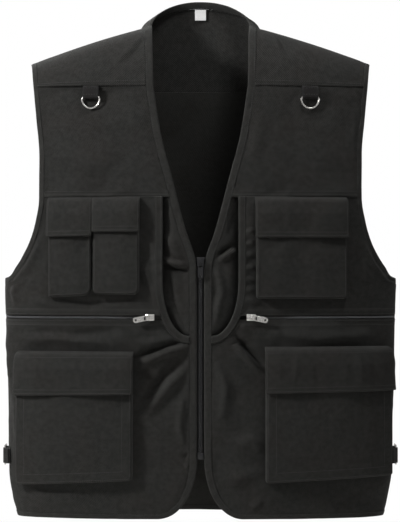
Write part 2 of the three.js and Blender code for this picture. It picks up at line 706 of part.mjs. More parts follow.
// Patch pockets: a hollow pouch open at the top, and a flap sewn on above it
const layerLift = (x, z) => (z > zipTop ? outerLift(x) : 0);
function pocketPoint(pocket, across, z, lift) {
  const slant = pocket.rise * (pocket.side * (across - 0.5));
  const [inner, outer] = [pocket.inner, pocket.outer].map((x) => angleOf(x * HALF_CHEST, z));
  const angle = lerp(inner, outer, across);
  const raised = layerLift(bodyPoint(-1, angle, z).x, z) + lift;
  return bodyPoint(-1, pocket.side * angle, z + slant, raised);
}

// Width of a pocket along the cloth
function pocketWidth(pocket) {
  const z = down(lerp(pocket.top, pocket.bottom, 0.5));
  const line = spread(0, 1, 8).map((across) => pocketPoint(pocket, across, z, 0));
  return line.slice(1).reduce((sum, p, k) => sum + p.distanceTo(line[k]), 0);
}

function pouch(pocket) {
  const [mouth, bottom] = [down(pocket.top + POCKET_MOUTH), down(pocket.bottom)];
  const width = pocketWidth(pocket);
  const wallShare = POUCH_GUSSET / width;
  const steps = Math.round(width / POCKET_STEP);
  const flat = spread(POUCH_FLAT * wallShare, 1 - POUCH_FLAT * wallShare, steps);
  const columns = [0, wallShare, ...flat, 1 - wallShare, 1];
  const full = [0, POUCH_SHOULDER, ...flat.map(() => 1), POUCH_SHOULDER, 0];
  const rows = [
    ...POUCH_ROWS.map(({ at, stand }) => ({ z: lerp(mouth, bottom, at), stand })),
    { z: bottom + POUCH_FLAT * POUCH_GUSSET, stand: 1 },
    { z: bottom + POUCH_GUSSET, stand: POUCH_SHOULDER },
    { z: bottom, stand: 0 },
  ];
  return cloth([
    rows.map(({ z, stand }) =>
      columns.map((across, k) =>
        pocketPoint(pocket, across, z, POCKET_EDGE + pocket.bulge * stand * full[k]),
      ),
    ),
  ]);
}

function flap(pocket) {
  const [top, bottom] = [down(pocket.top), down(pocket.flap)];
  const width = pocketWidth(pocket);
  const over = FLAP_OVERHANG / width;
  const steps = Math.round(width / POCKET_STEP) + 1;
  const hinge = top - FLAP_HINGE.down * POCKET_MOUTH * BODY_LENGTH;
  const rows = [
    { z: top, lift: POCKET_EDGE },
    { z: hinge, lift: POCKET_EDGE + FLAP_HINGE.stand * pocket.bulge },
    ...FLAP_ROWS.map(({ at, clear }) => ({
      z: lerp(top, bottom, at),
      lift: POCKET_EDGE + pocket.bulge + clear * FLAP_CLEAR,
    })),
  ];
  return cloth([
    rows.map(({ z, lift }) =>
      spread(-over, 1 + over, steps).map((across) => pocketPoint(pocket, across, z, lift)),
    ),
  ]);
}

for (const pocket of POCKETS) {
  add(pocket.node + "_pouch", pouch(pocket), TWILL);
  add(pocket.node + "_flap", flap(pocket), TWILL);
}

// A bar that follows the front, from ring sections of its width, back and outer face
function frontBar(points, { wide, back, outer }, vertical) {
  const rings = points.map(({ x, z }) =>
    [
      [-wide / 2, back],
      [wide / 2, back],
      [wide / 2, outer],
      [-wide / 2, outer],
    ].map(([offset, lift]) =>
      vertical ? frontAt(x + offset, z, lift) : frontAt(x, z + offset, lift),
    ),
  );
  return loft(rings);
}

// Outline of a rectangle, as a shape or as a hole
const rectangle = (kind, x0, z0, x1, z1) => {
  const outline = new kind();
  outline.moveTo(x0, z0);
  outline.lineTo(x1, z0);
  outline.lineTo(x1, z1);
  outline.lineTo(x0, z1);
  outline.closePath();
  return outline;
};

// Turns an outline so that its first axis runs along Z and its second towards -Y
const ARCH_FRAME = new THREE.Matrix4().makeBasis(
  new THREE.Vector3(0, 0, 1),
  new THREE.Vector3(0, -1, 0),
  new THREE.Vector3(1, 0, 0),
);

// Zip slider with the arch that holds its puller; its length runs along Z, its face towards -Y
function sliderGeometry() {
  const { width, length, thick, neck, neckInset, arch, archReach, archWidth, archWire } = SLIDER;
  const body = plate(rectangle(THREE.Shape, -width / 2, -length / 2, width / 2, length / 2), thick);
  body.translate(0, -thick / 2, 0);
  const { sunk } = SLIDER;
  const stem = new THREE.BoxGeometry(ZIP_SLIT - neckInset, neck + sunk, length - neckInset);
  stem.translate(0, (neck - sunk) / 2, 0);
  const side = rectangle(THREE.Shape, -arch, -sunk, arch, archReach);
  const reach = arch - archWire;
  side.holes.push(rectangle(THREE.Path, -reach, 0, reach, archReach - archWire));
  const bridge = new THREE.ExtrudeGeometry(side, { depth: archWidth, bevelEnabled: false });
  bridge.translate(0, 0, -archWidth / 2).applyMatrix4(ARCH_FRAME).translate(0, -thick, 0);
  return join([body, stem, bridge]);
}

// Puller hanging from its cross bar at the origin
function pullerGeometry() {
  const { wide, eye, eyeWidth, shoulder, bar, long, thick, hole } = PULLER;
  const outline = new THREE.Shape();
  outline.moveTo(-eye.half, bar / 2);
  outline.lineTo(eye.half, bar / 2);
  outline.lineTo(wide / 2, -eye.end - shoulder);
  outline.lineTo(wide / 2, -long + wide / 2);
  outline.absarc(0, -long + wide / 2, wide / 2, 0, -Math.PI, true);
  outline.lineTo(-wide / 2, -eye.end - shoulder);
  outline.closePath();
  outline.holes.push(rectangle(THREE.Path, -eyeWidth / 2, -eye.end, eyeWidth / 2, -bar / 2));
  const bore = new THREE.Path();
  bore.absarc(0, -long + wide / 2, hole, 0, 2 * Math.PI);
  outline.holes.push(bore);
  const geometry = new THREE.ExtrudeGeometry(outline, {
    depth: thick,
    bevelEnabled: false,
    curveSegments: 6,
  });
  return geometry.rotateX(Math.PI / 2).translate(0, thick / 2, 0);
}

// Slider and puller in one local frame, placed on the front
function placeSlider(name, x, z, lift, turn, droop, finish) {
  const at = frontAt(x, z, lift);
  const ahead = frontAt(x, z, lift + 1).sub(at);
  const holder = new THREE.Group();
  holder.position.copy(at);
  holder.rotation.set(0, 0, Math.atan2(ahead.x, -ahead.y));
  vest.add(holder);
  add(name + "_slider", sliderGeometry(), finish, holder).rotation.y = turn;
  const swing = new THREE.Group();
  swing.rotation.y = turn;
  holder.add(swing);
  const puller = add(name + "_puller", pullerGeometry(), finish, swing);
  puller.position.set(0, -SLIDER.thick - PULLER.stand, -PULLER.drop);
  puller.rotation.y = droop;
}

// Front zip: tapes behind the front edges, chain in the slit between them
const chainTop = down(ZIP_TOP_AT) - SLIDER.length - SEAM_GAP;
const chainBottom = down(CORNER_AT) + BOTTOM_BOX.high;
const chainRows = spread(chainTop, chainBottom, 8).map((z) => ({ x: 0, z }));
add("front_zip_chain", frontBar(chainRows, CHAIN, true), NYLON);
for (const side of [-1, 1]) {
  const inner = CHAIN.wide / 2 + SEAM_GAP;
  const tape = spread(down(ZIP_TOP_AT), down(CORNER_AT), 9).map((z) =>
    [inner, inner + TAPE_WIDTH].map((x) => frontAt(side * x, z, -TAPE_BEHIND)),
  );
  add("front_zip_tape_" + sideName(side), cloth([tape], TAPE_WALL), WEBBING);
}
const boxRows = [down(CORNER_AT), chainBottom - SEAM_GAP].map((z) => ({ x: 0, z }));
const boxBar = { wide: BOTTOM_BOX.wide, back: -BOTTOM_BOX.half, outer: BOTTOM_BOX.half };
add("front_zip_box", frontBar(boxRows, boxBar, true), BLACK_METAL);
const frontSliderZ = down(ZIP_TOP_AT) - SLIDER.length / 2;
placeSlider("front_zip", 0, frontSliderZ, FRONT_SLIDER_STAND, 0, 0, BLACK_METAL);

// Hand-pocket zips: tape behind the slit, coil in it, slider at the inner end
for (const side of [-1, 1]) {
  const name = "pocket_zip_" + sideName(side);
  const start = SLOT_HALF + SLOT_BAND + ZIP_START;
  const inner = angleOf(start, down(ZIP_AT));
  const tape = spread(inner, POCKET_ZIP_END, 9).map((angle) =>
    [TAPE_WIDTH / 2, -TAPE_WIDTH / 2].map((offset) =>
      bodyPoint(-1, side * angle, down(ZIP_AT) + offset, -TAPE_BEHIND),
    ),
  );
  add(name + "_tape", cloth([tape], TAPE_WALL), WEBBING);
  const sliderAt = start + SLIDER.length / 2;
  const coilFrom = angleOf(sliderAt + SLIDER.length / 2 + SEAM_GAP, down(ZIP_AT));
  const coil = spread(coilFrom, POCKET_ZIP_END, 8).map((angle) => ({
    x: side * bodyPoint(-1, angle, down(ZIP_AT)).x,
    z: down(ZIP_AT),
  }));
  add(name + "_coil", frontBar(coil, COIL, false), NYLON);
  const turn = (-side * Math.PI) / 2;
  placeSlider(name, side * sliderAt, down(ZIP_AT), SLIDER_STAND, turn, side * PULLER_DROOP, NICKEL);
}

// D-ring: a wire loop with a straight top bar along X at the origin
function dRingGeometry() {
  const { half, high, wire } = D_RING;
  const path = [
    ...spread(-half + wire, half - wire, 3).map((x) => new THREE.Vector2(x, 0)),
    ...spread(0, 180, 10).map((turn) =>
      new THREE.Vector2(half * Math.cos(radians(turn)), -wire - high * Math.sin(radians(turn))),
    ),
  ];
  const rings = path.map((p, k) => {
    const before = path.at(k - 1);
    const after = path[(k + 1) % path.length];
    const ahead = after.clone().sub(before).normalize();
    return spread(0, 360, 8).slice(1).map((turn) => {
      const [out, across] = [Math.cos(radians(turn)) * wire, Math.sin(radians(turn)) * wire];
      return new THREE.Vector3(p.x - ahead.y * across, out, p.y + ahead.x * across);
    });
  });
  return loft(rings, true);
}

// Cloth tab folded round a bar along X at the origin, sewn on above it
function tabGeometry() {
  const { half, up, wall, back, short } = D_TAB;
  const bend = D_RING.wire + SEAM_GAP + wall / 2;
  const path = [
    { y: -back, z: up },
    { y: -bend, z: up / 2 },
    ...spread(180, 360, 6).map((turn) => ({
      y: bend * Math.cos(radians(turn)),
      z: bend * Math.sin(radians(turn)),
    })),
    { y: bend, z: up - short },
  ];
  return cloth(
    [path.map(({ y, z }) => [-half, half].map((x) => new THREE.Vector3(x, y, z)))],
    wall,
  );
}

for (const side of [-1, 1]) {
  const z = down(YOKE_AT) - D_TAB.up;
  const at = frontAt(side * D_RING.out, z, D_RING.stand);
  const ahead = frontAt(side * D_RING.out, z, D_RING.stand + 1).sub(at);
  const holder = new THREE.Group();
  holder.position.copy(at);
  holder.rotation.z = Math.atan2(ahead.x, -ahead.y);
  vest.add(holder);
  add("d_ring_tab_" + sideName(side), tabGeometry(), WEBBING, holder);
  add("d_ring_" + sideName(side), dRingGeometry(), NICKEL, holder);
}

// Side adjusters: a slide at the side seam, held by a front tab and a back strap
function slideGeometry() {
  const { wide, high, bar, thick } = SLIDE;
  const frame = rectangle(THREE.Shape, -wide / 2, -high / 2, wide / 2, high / 2);
  const [reach, rise] = [wide / 2 - bar, high / 2 - bar];
  frame.holes.push(rectangle(THREE.Path, -reach, -rise, reach, rise));
  const middle = new THREE.BoxGeometry(bar, thick, high - bar);
  return join([plate(frame, thick), middle]).rotateZ(Math.PI / 2);
}

// A strap along the body that turns back round one end bar of the slide: face -1 front, 1 back
function strapGeometry(side, face, { from, to, off }) {
  const z = SLIDE_Z;
  const centreX = torsoHalf(z) + SLIDE.stand;
  const centreY = SLIDE.behind + face * (SLIDE.wide / 2 - SLIDE.bar / 2);
  const clear = STRAP.ease + STRAP.wall / 2;
  const loop = spread(0, 180, 5).map(
    (turn) =>
      new THREE.Vector3(
        centreX - (SLIDE.thick / 2 + clear) * Math.cos(radians(turn)),
        centreY - face * (SLIDE.bar / 2 + clear) * Math.sin(radians(turn)),
        z,
      ),
  );
  const past = new THREE.Vector3(
    centreX + SLIDE.thick / 2 + clear,
    centreY + face * (SLIDE.bar / 2 + clear),
    z,
  );
  const layer = (angles, lift) => angles.map((angle) => bodyPoint(face, angle, z, lift));
  const path = [
    ...layer(spread(from, to, 3), STRAP.lift),
    ...loop,
    past,
    ...layer(spread(off, from + 1, 2), STRAP.lift + STRAP.layer),
  ];
  return cloth(
    [
      path.map((p) =>
        [-STRAP.half, STRAP.half].map((up) => new THREE.Vector3(side * p.x, p.y, p.z + up)),
      ),
    ],
    STRAP.wall,
  );
}

for (const side of [-1, 1]) {
  const slide = add("side_slide_" + sideName(side), slideGeometry(), NICKEL);
  slide.position.set(side * (torsoHalf(SLIDE_Z) + SLIDE.stand), SLIDE.behind, SLIDE_Z);
  add("side_tab_" + sideName(side), strapGeometry(side, -1, STRAP.front), WEBBING);
  add("side_strap_" + sideName(side), strapGeometry(side, 1, STRAP.rear), WEBBING);
}

// Blank label inside the back neck
const label = spread(-LABEL.half, LABEL.half, 2);
const labelRows = spread(LABEL.top, LABEL.bottom, 2).map((turn) =>
  label.map((x) => {
    const top = backNeckInset(90, BAND + SEAM_GAP * (1 + NECK_CLEAR));
    const p = yokeBack(top, backSeam(0), turn);
    return new THREE.Vector3(x, p.y - LABEL.inwards, p.z);
  }),
);
add("neck_label", cloth([labelRows], LABEL.wall), SATIN);

export default vest;
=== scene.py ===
"""Utility work vest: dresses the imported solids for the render.

Each cloth piece is cut again here as a fine sheet that hangs where its solid lies, with its folds,
hems, stitches, zips and fittings. Lengths in the classes are millimetres of the pattern; the mesh
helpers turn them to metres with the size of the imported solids.
"""

import logging
import math
from collections.abc import Callable, Sequence
from dataclasses import dataclass, field
from enum import Enum

import bmesh
import bpy
import numpy as np
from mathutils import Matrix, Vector
from mathutils.bvhtree import BVHTree


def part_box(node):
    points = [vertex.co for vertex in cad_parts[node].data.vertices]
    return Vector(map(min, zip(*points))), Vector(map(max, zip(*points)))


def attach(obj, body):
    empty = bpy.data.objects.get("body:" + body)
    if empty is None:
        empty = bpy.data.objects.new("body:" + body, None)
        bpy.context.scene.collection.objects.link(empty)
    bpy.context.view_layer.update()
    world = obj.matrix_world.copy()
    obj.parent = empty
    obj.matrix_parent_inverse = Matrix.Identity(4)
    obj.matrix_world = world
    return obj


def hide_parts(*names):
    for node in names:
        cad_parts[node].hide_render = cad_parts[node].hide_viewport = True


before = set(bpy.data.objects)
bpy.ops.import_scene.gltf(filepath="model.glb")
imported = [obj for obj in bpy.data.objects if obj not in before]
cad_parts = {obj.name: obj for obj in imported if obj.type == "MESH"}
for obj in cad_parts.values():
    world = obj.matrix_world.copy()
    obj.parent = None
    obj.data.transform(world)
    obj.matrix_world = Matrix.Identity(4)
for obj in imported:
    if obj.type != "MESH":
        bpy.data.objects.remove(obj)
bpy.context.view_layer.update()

LOG = logging.getLogger("work_vest")
Array = np.ndarray
Tree, Node, Socket = bpy.types.NodeTree, bpy.types.Node, bpy.types.NodeSocket
Piece = bpy.types.Object
Line = tuple[np.ndarray, np.ndarray]  # points and the outward direction at each
SIDES = (("left", -1), ("right", 1))  # the photograph's left and right, with their signs
MIRROR = np.array([-1, 1, 1])
MILLI = 1000  # millimetres in a metre


# Finishes


def linear(colour: str) -> tuple[float, float, float, float]:
    """Turn an sRGB hex colour to the linear one that a shader takes.

    Args:
        colour: six hex digits with a leading hash.

    Returns:
        Linear red, green, blue and an alpha of one.
    """
    parts = [int(colour[i : i + 2], 16) / 255 for i in (1, 3, 5)]
    red, green, blue = (p / 12.92 if p <= 0.04045 else ((p + 0.055) / 1.055) ** 2.4 for p in parts)
    return red, green, blue, 1.0


def add_node(tree: Tree, kind: str, inputs: dict | None = None, **settings: object) -> Node:
    """Add a node with its settings, values and links.

    Args:
        tree: node tree that takes the node.
        kind: the node's type name.
        inputs: socket name or index to a value, or to the socket that feeds it.
        settings: properties of the node itself.

    Returns:
        The new node.
    """
    made = tree.nodes.new(kind)
    for name, value in settings.items():
        setattr(made, name, value)
    for name, value in (inputs or {}).items():
        if isinstance(value, Socket):
            tree.links.new(value, made.inputs[name])
        else:
            made.inputs[name].default_value = value
    return made


def ranged(tree: Tree, value: Socket, given: tuple[float, float], wanted: tuple[float, float]) -> Socket:
    """Return a value moved from the range given to the range wanted."""
    inputs = {0: value, 1: given[0], 2: given[1], 3: wanted[0], 4: wanted[1]}
    return add_node(tree, "ShaderNodeMapRange", inputs).outputs[0]


def speckle(tree: Tree, place: Socket, scale: float, detail: float, roughness: float = 0.5) -> Socket:
    """Return soft random noise over a place."""
    inputs = {"Vector": place, "Scale": scale, "Detail": detail, "Roughness": roughness}
    return add_node(tree, "ShaderNodeTexNoise", inputs).outputs["Fac"]


def bumped(tree: Tree, shader: Node, height: Socket, distance: float, strength: float) -> None:
    """Give a shader the relief of a height, distance metres deep."""
    inputs = {"Height": height, "Distance": distance, "Strength": strength}
    tree.links.new(add_node(tree, "ShaderNodeBump", inputs).outputs[0], shader.inputs["Normal"])


@dataclass(frozen=True)
class Finish:
    """What a surface is made of; the sub-classes build its nodes once and share the material."""

    name: str
    slot: str
    ground: str
    roughness: float

    def material(self) -> bpy.types.Material:
        """Return the finish's material, made on first use."""
        known = bpy.data.materials.get(self.name)
        if known is not None:
            return known
        made = bpy.data.materials.new(self.name)
        made.use_nodes = True
        made.node_tree.nodes.clear()
        shader = add_node(
            made.node_tree,
            "ShaderNodeBsdfPrincipled",
            {"Base Color": linear(self.ground), "Roughness": self.roughness},
        )
        add_node(made.node_tree, "ShaderNodeOutputMaterial", {"Surface": shader.outputs[0]})
        self.detail(made.node_tree, shader)
        return made

    def detail(self, tree: Tree, shader: Node) -> None:
        """Add the finish's own pattern; a plain finish has none."""


@dataclass(frozen=True)
class WovenCloth(Finish):
    """Cotton-blend cloth: a diagonal twill or plain weave, uneven dye and rubbed edges.

    The weave reads the piece's UV map, which is in metres of cloth, so it follows every fold.
    """

    rubbed: str = "#4a4a49"
    cast: str = "#1d1816"
    rib: float = 1.5  # spacing of the ribs in mm; the real 0.7 mm is too fine for the render
    yarn: float = 1.7  # size of the yarn's slubs in mm
    lean: float = 52.0  # angle of the ribs in degrees
    relief: float = 0.5  # height of the ribs in mm
    bump: float = 0.8  # share of that height that shades
    sheen: float = 0.05
    fuzz: float = 0.45  # roughness of the sheen
    gloss: float = 0.12
    blotch: float = 7.0  # size of the wash's blotches in mm
    faded: float = 0.28  # how far they fade towards the rubbed colour
    warm: float = 55.0  # size of the areas that the dye took warmer, in mm

    def detail(self, tree: Tree, shader: Node) -> None:
        """Add the weave's bump, the dye's unevenness and the rubbed edges.

        Args:
            tree: the material's node tree.
            shader: the shader that takes the pattern.
        """
        shader.inputs["Sheen Weight"].default_value = self.sheen
        shader.inputs["Sheen Roughness"].default_value = self.fuzz
        shader.inputs["Specular IOR Level"].default_value = self.gloss
        uv = add_node(tree, "ShaderNodeUVMap", uv_map="cloth").outputs[0]
        inputs = {"Vector": uv, "Scale": (MILLI, MILLI, MILLI)}
        cloth = add_node(tree, "ShaderNodeMapping", inputs).outputs[0]
        inputs = {"Vector": cloth, "Rotation": (0, 0, math.radians(self.lean))}
        turned = add_node(tree, "ShaderNodeMapping", inputs).outputs[0]
        waves = 2 * math.pi / (20 * self.rib)  # the texture has twenty waves in a full turn
        inputs = {"Scale": waves, "Distortion": 1.1, "Detail": 2.0, "Detail Scale": 0.6}
        ribs = add_node(tree, "ShaderNodeTexWave", {"Vector": turned, **inputs}).outputs["Fac"]
        yarn = speckle(tree, cloth, 1 / self.yarn, 2.0, 0.6)
        inputs = {0: 0.45, 2: ribs, 3: yarn}
        weave = add_node(tree, "ShaderNodeMix", inputs, data_type="FLOAT").outputs[0]
        bumped(tree, shader, weave, self.relief / MILLI, self.bump)
        self.dye(tree, shader, cloth, weave)

    def dye(self, tree: Tree, shader: Node, cloth: Socket, weave: Socket) -> None:
        """Colour the cloth.

        Args:
            tree: the material's node tree.
            shader: the shader that takes the colour.
            cloth: the cloth's own coordinates in millimetres.
            weave: height of the weave, from 0 to 1.
        """
        warm = ranged(tree, speckle(tree, cloth, 1 / self.warm, 3.0), (0.42, 0.66), (0.0, 0.75))
        inputs = {0: warm, 6: linear(self.ground), 7: linear(self.cast)}
        grounds = add_node(tree, "ShaderNodeMix", inputs, data_type="RGBA").outputs[2]
        worn = add_node(tree, "ShaderNodeAttribute", attribute_name="rubbed").outputs["Fac"]
        grain = ranged(tree, weave, (0.36, 0.7), (0.0, 0.85))
        blotches = speckle(tree, cloth, 1 / self.blotch, 5.0, 0.7)
        faded = ranged(tree, blotches, (0.4, 0.68), (0.0, self.faded))
        tint = add_node(tree, "ShaderNodeMath", {0: faded, 1: grain}, operation="ADD").outputs[0]
        share = add_node(tree, "ShaderNodeMath", {0: worn, 1: tint}, operation="ADD", use_clamp=True)
        inputs = {0: share.outputs[0], 6: grounds, 7: linear(self.rubbed)}
        colour = add_node(tree, "ShaderNodeMix", inputs, data_type="RGBA").outputs[2]
        tree.links.new(colour, shader.inputs["Base Color"])


@dataclass(frozen=True)
class PlatedMetal(Finish):
    """Cast and plated metal: a bright skin with faint unevenness in its polish."""

    dull: float = 0.38
    grain: float = 1.2  # size of the unevenness in mm
    relief: float = 0.03  # height of the unevenness in mm
    bump: float = 0.6  # share of that height that shades

    def detail(self, tree: Tree, shader: Node) -> None:
        """Add the polish's unevenness.

        Args:
            tree: the material's node tree.
            shader: the shader that takes the pattern.
        """
        shader.inputs["Metallic"].default_value = 1.0
        place = add_node(tree, "ShaderNodeTexCoord").outputs["Object"]
        uneven = speckle(tree, place, MILLI / self.grain, 3.0)
        polish = ranged(tree, uneven, (0.3, 0.75), (self.roughness, self.dull))
        tree.links.new(polish, shader.inputs["Roughness"])
        bumped(tree, shader, uneven, self.relief / MILLI, self.bump)


@dataclass(frozen=True)
class SpunThread(Finish):
    """Polyester thread and moulded nylon: smooth fibres with a soft shine."""

    fibre: float = 0.25  # fibre spacing in mm
    gloss: float = 0.45

    def detail(self, tree: Tree, shader: Node) -> None:
        """Add the fibres' fine unevenness.

        Args:
            tree: the material's node tree.
            shader: the shader that takes the pattern.
        """
        shader.inputs["Specular IOR Level"].default_value = self.gloss
        place = add_node(tree, "ShaderNodeTexCoord").outputs["Object"]
        fibres = speckle(tree, place, MILLI / self.fibre, 1.0)
        shine = ranged(tree, fibres, (0.0, 1.0), (self.roughness * 0.8, self.roughness * 1.15))
        tree.links.new(shine, shader.inputs["Roughness"])


# Body cloth: black piece-dyed cotton-blend twill, matt with a faint fuzz
TWILL = WovenCloth("black_cotton_twill", "body_cloth", "#191918", 0.9, rubbed="#3f3f3d")
# Back panel, whose inside shows: the same cloth, less rubbed, and a shade lighter as painted fill light
# for the shade inside the vest
TWILL_PAINTED_FILL = WovenCloth("black_twill_painted_fill", "inner_cloth", "#272726", 0.92, rubbed="#3b3b38")
# Binding: the twill cut on the bias and pressed, so its ribs run along the edge and it shines more
BIAS = WovenCloth("black_bias_binding", "binding", "#181817", 0.86, rubbed="#3f3f3d", lean=8.0)
# Tabs, straps and zip tapes: close-woven polyester, flatter than the twill
TAPE = WovenCloth(
    "black_woven_tape", "webbing", "#181818", 0.8, rubbed="#2c2c2c", rib=1.0, lean=90.0, relief=0.12
)
# Label: white satin with a fine cross weave
SATIN = WovenCloth(
    "white_satin_label", "label", "#f4f4f2", 0.6, rubbed="#ffffff", cast="#efeeea", rib=0.9, relief=0.05
)
# Topstitching: spun polyester, a shade lighter than the cloth it sinks into
THREAD = SpunThread("black_spun_thread", "binding", "#2f2f2d", 0.6)
# Coil: dark grey nylon, smooth as drawn, so each turn takes a thin highlight
NYLON = SpunThread("grey_nylon_coil", "zip_coil", "#77777a", 0.36)
# Chain: darker moulded teeth
MOULDED = SpunThread("dark_moulded_teeth", "zip_coil", "#242426", 0.42)
# Pullers, sliders and rings: zinc casting or bent wire, nickel plated
NICKEL = PlatedMetal("nickel_plated_zinc", "nickel", "#c9c7c3", 0.2)
# Front slider: zinc casting in dark enamel
ENAMEL = PlatedMetal("black_enamelled_zinc", "black_metal", "#3c3c3d", 0.28, dull=0.42)


# Form: the shape that the cloth hangs in


def mix(start: Array | float, end: Array | float, share: Array | float) -> Array:
    """Return the value at a share of the way from start to end."""
    return start + (end - start) * np.asarray(share, float)


def smooth(value: Array | float, low: float, high: float) -> Array:
    """Return a smooth step from 0 at low to 1 at high."""
    share = np.clip((np.asarray(value, float) - low) / (high - low), 0, 1)
    return share * share * (3 - 2 * share)


def stack(x: Array, y: Array, z: Array) -> Array:
    """Return points from their three coordinates."""
    return np.stack(np.broadcast_arrays(x, y, z), axis=-1).astype(float)


def unit(vectors: Array) -> Array:
    """Return vectors at length one."""
    return vectors / np.maximum(np.linalg.norm(vectors, axis=-1, keepdims=True), 1e-12)


def travelled(line: Array) -> Array:
    """Return the distance travelled along a line at each of its points."""
    steps = np.linalg.norm(np.diff(line, axis=0), axis=1)
    return np.concatenate([[0], np.cumsum(steps)])


def spaced(line: Array, reached: Array, stations: Array) -> Array:
    """Return the points of a line at stations, given the distance travelled at its own points."""
    return np.stack([np.interp(stations, reached, line[:, k]) for k in range(3)], 1)


@dataclass(frozen=True)
class Column:
    """A column of a cutting table: smooth between its rows, level past its ends."""

    at: tuple[float, ...]
    value: tuple[float, ...]

    def __call__(self, share: Array | float) -> Array:
        """Return the value at shares of the body length.

        Args:
            share: shares of the body length.

        Returns:
            One value for each share.
        """
        at, value = np.array(self.at), np.array(self.value)
        slopes = np.diff(value) / np.diff(at)
        before, after = slopes[:-1], slopes[1:]
        total = np.where(before + after == 0, 1, before + after)
        inner = np.where(before * after <= 0, 0, 2 * before * after / total)
        tangents = np.concatenate([slopes[:1], inner, slopes[-1:]])
        share = np.clip(np.asarray(share, float), at[0], at[-1])
        row = np.clip(np.searchsorted(at, share) - 1, 0, len(at) - 2)
        width = at[row + 1] - at[row]
        t = (share - at[row]) / width
        return (
            value[row] * (2 * t**3 - 3 * t**2 + 1)
            + value[row + 1] * (3 * t**2 - 2 * t**3)
            + tangents[row] * width * (t**3 - 2 * t**2 + t)
            + tangents[row + 1] * width * (t**3 - t**2)
        )


@dataclass(frozen=True)
class HungForm:
    """The hung vest's surface: a flattened torso section by section, and a yoke over the shoulders.

    Heights are negative downwards from the shoulder-neck points; face is -1 for front, 1 for back.
    """

    length: float = 672.0
    half_chest: float = 269.0
    half_depth: float = 66.0
    neck_half: float = 67.0
    neck_rise: float = 40.0
    neck_setback: float = 50.0
    neck_fullness: float = 4.5  # how far the yoke stands out behind the neck, and where it fades
    neck_fade: float = 24.0
    neck_fall: float = 0.9  # fall and depth of the cloth for each millimetre away from the neck
    neck_depth: float = 0.4
    shoulder_slope: float = 0.255
    shoulder_curve: float = 0.0004
    shoulder_half: float = 233.0
    power: float = 2.3
    side_angle: float = 89.8
    seam_gap: float = 0.4
    band: float = 10.0
    arm_band: float = 7.0
    hem_band: float = 7.0
    yoke_at: float = 0.128
    chest_at: float = 0.3506
    zip_at: float = 0.594
    corner_at: float = 0.8795
    zip_top_at: float = 0.473
    slot_turn_at: float = 0.521
    slot_end_at: float = 0.632
    slot_half: float = 52.0
    slot_band: float = 9.0
    placket_half: float = 5.0
    corner_half: float = 58.0
    layer_lift: float = 2.6  # the outer pocket layer's lift, which fades between two shares
    layer_full: float = 0.33
    layer_flat: float = 0.55
    width: Column = Column(
        (0.128, 0.3506, 0.5238, 0.622, 0.766, 0.909, 0.967, 1.0),
        (1.008, 1.032, 1.016, 1.011, 1.001, 0.996, 0.972, 0.952),
    )
    depth: Column = Column(
        (0.128, 0.3506, 0.5238, 0.622, 0.766, 0.909, 0.967, 1.0),
        (0.91, 1.0, 1.0, 0.98, 0.95, 0.92, 0.91, 0.9),
    )
    neckline: Column = Column(
        (0.128, 0.223, 0.3155, 0.4167, 0.473, 0.494), (0.955, 0.806, 0.567, 0.303, 0.113, 0.075)
    )
    arm_at: tuple[float, ...] = (
        0.128, 0.195, 0.268, 0.3506, 0.3988, 0.4375, 0.4673, 0.4926, 0.512, 0.5208,
    )
    arm_half: tuple[float, ...] = (0.863, 0.846, 0.83, 0.8304, 0.8486, 0.878, 0.914, 0.955, 0.992, 1.1)
    arm_lean: tuple[float, ...] = (0, 0, 0, 0, 12, 28, 42, 56, 72, 90)

    def down(self, share: float) -> float:
        """Return the height at a share of the body length."""
        return -share * self.length

    def half(self, z: Array) -> Array:
        """Return half the torso's width at a height."""
        return self.half_chest * self.width(-np.asarray(z) / self.length)

    def fore(self, z: Array) -> Array:
        """Return half the torso's depth at a height."""
        return self.half_depth * self.depth(-np.asarray(z) / self.length)

    def body(self, face: int, angle: Array, z: Array, lift: Array | float = 0.0) -> Array:
        """Return points of the torso.

        Args:
            face: -1 for the front, 1 for the back.
            angle: section angle in degrees, 0 at the centre line and 90 at the side.
            z: height.
            lift: distance outwards from the surface.

        Returns:
            Points, one for each angle and height.
        """
        angle, z, lift = np.broadcast_arrays(angle, z, lift)
        turn = np.radians(np.clip(np.abs(angle), 0, 90))
        half, fore = self.half(z), self.fore(z)
        x = half * np.sin(turn) ** (2 / self.power)
        y = fore * np.maximum(np.cos(turn), 0) ** (2 / self.power)
        out_x = x ** (self.power - 1) / half**self.power
        out_y = y ** (self.power - 1) / fore**self.power
        size = np.hypot(out_x, out_y)
        side = np.where(angle < 0, -1, 1)
        return stack(side * (x + out_x / size * lift), face * (y + out_y / size * lift), z)

    def angle(self, x: Array, z: Array) -> Array:
        """Return the section angle at a distance from the centre line."""
        share = np.minimum(np.abs(x) / self.half(z), 1)
        return np.sign(x) * np.degrees(np.arcsin(share ** (self.power / 2)))

    def front(self, x: Array, z: Array, lift: Array | float = 0.0) -> Array:
        """Return points of the front at distances from the centre line."""
        return self.body(-1, self.angle(x, z), z, lift)

    def girth_table(self) -> tuple[Array, Array]:
        """Return section angles and the length of cloth from the centre line to each."""
        angles = np.concatenate([[0], np.geomspace(0.02, 1, 30), np.linspace(1.5, 90, 178)])
        line = self.body(-1, angles, np.full_like(angles, -0.55 * self.length))
        return angles, travelled(line)

    def girth(self, angle: Array) -> Array:
        """Return the length of cloth from the centre line to a section angle, with its sign."""
        angles, lengths = GIRTH
        return np.sign(angle) * np.interp(np.abs(angle), angles, lengths)

    def angle_of_girth(self, girth: Array) -> Array:
        """Return the section angle at a length of cloth from the centre line."""
        angles, lengths = GIRTH
        return np.sign(girth) * np.interp(np.abs(girth), lengths, angles)

    def shoulder_top(self, x: Array) -> Array:
        """Return the shoulder fold's height at a distance from the centre line."""
        out = np.abs(x) - self.neck_half
        return -(self.shoulder_slope * out + self.shoulder_curve * out * out)

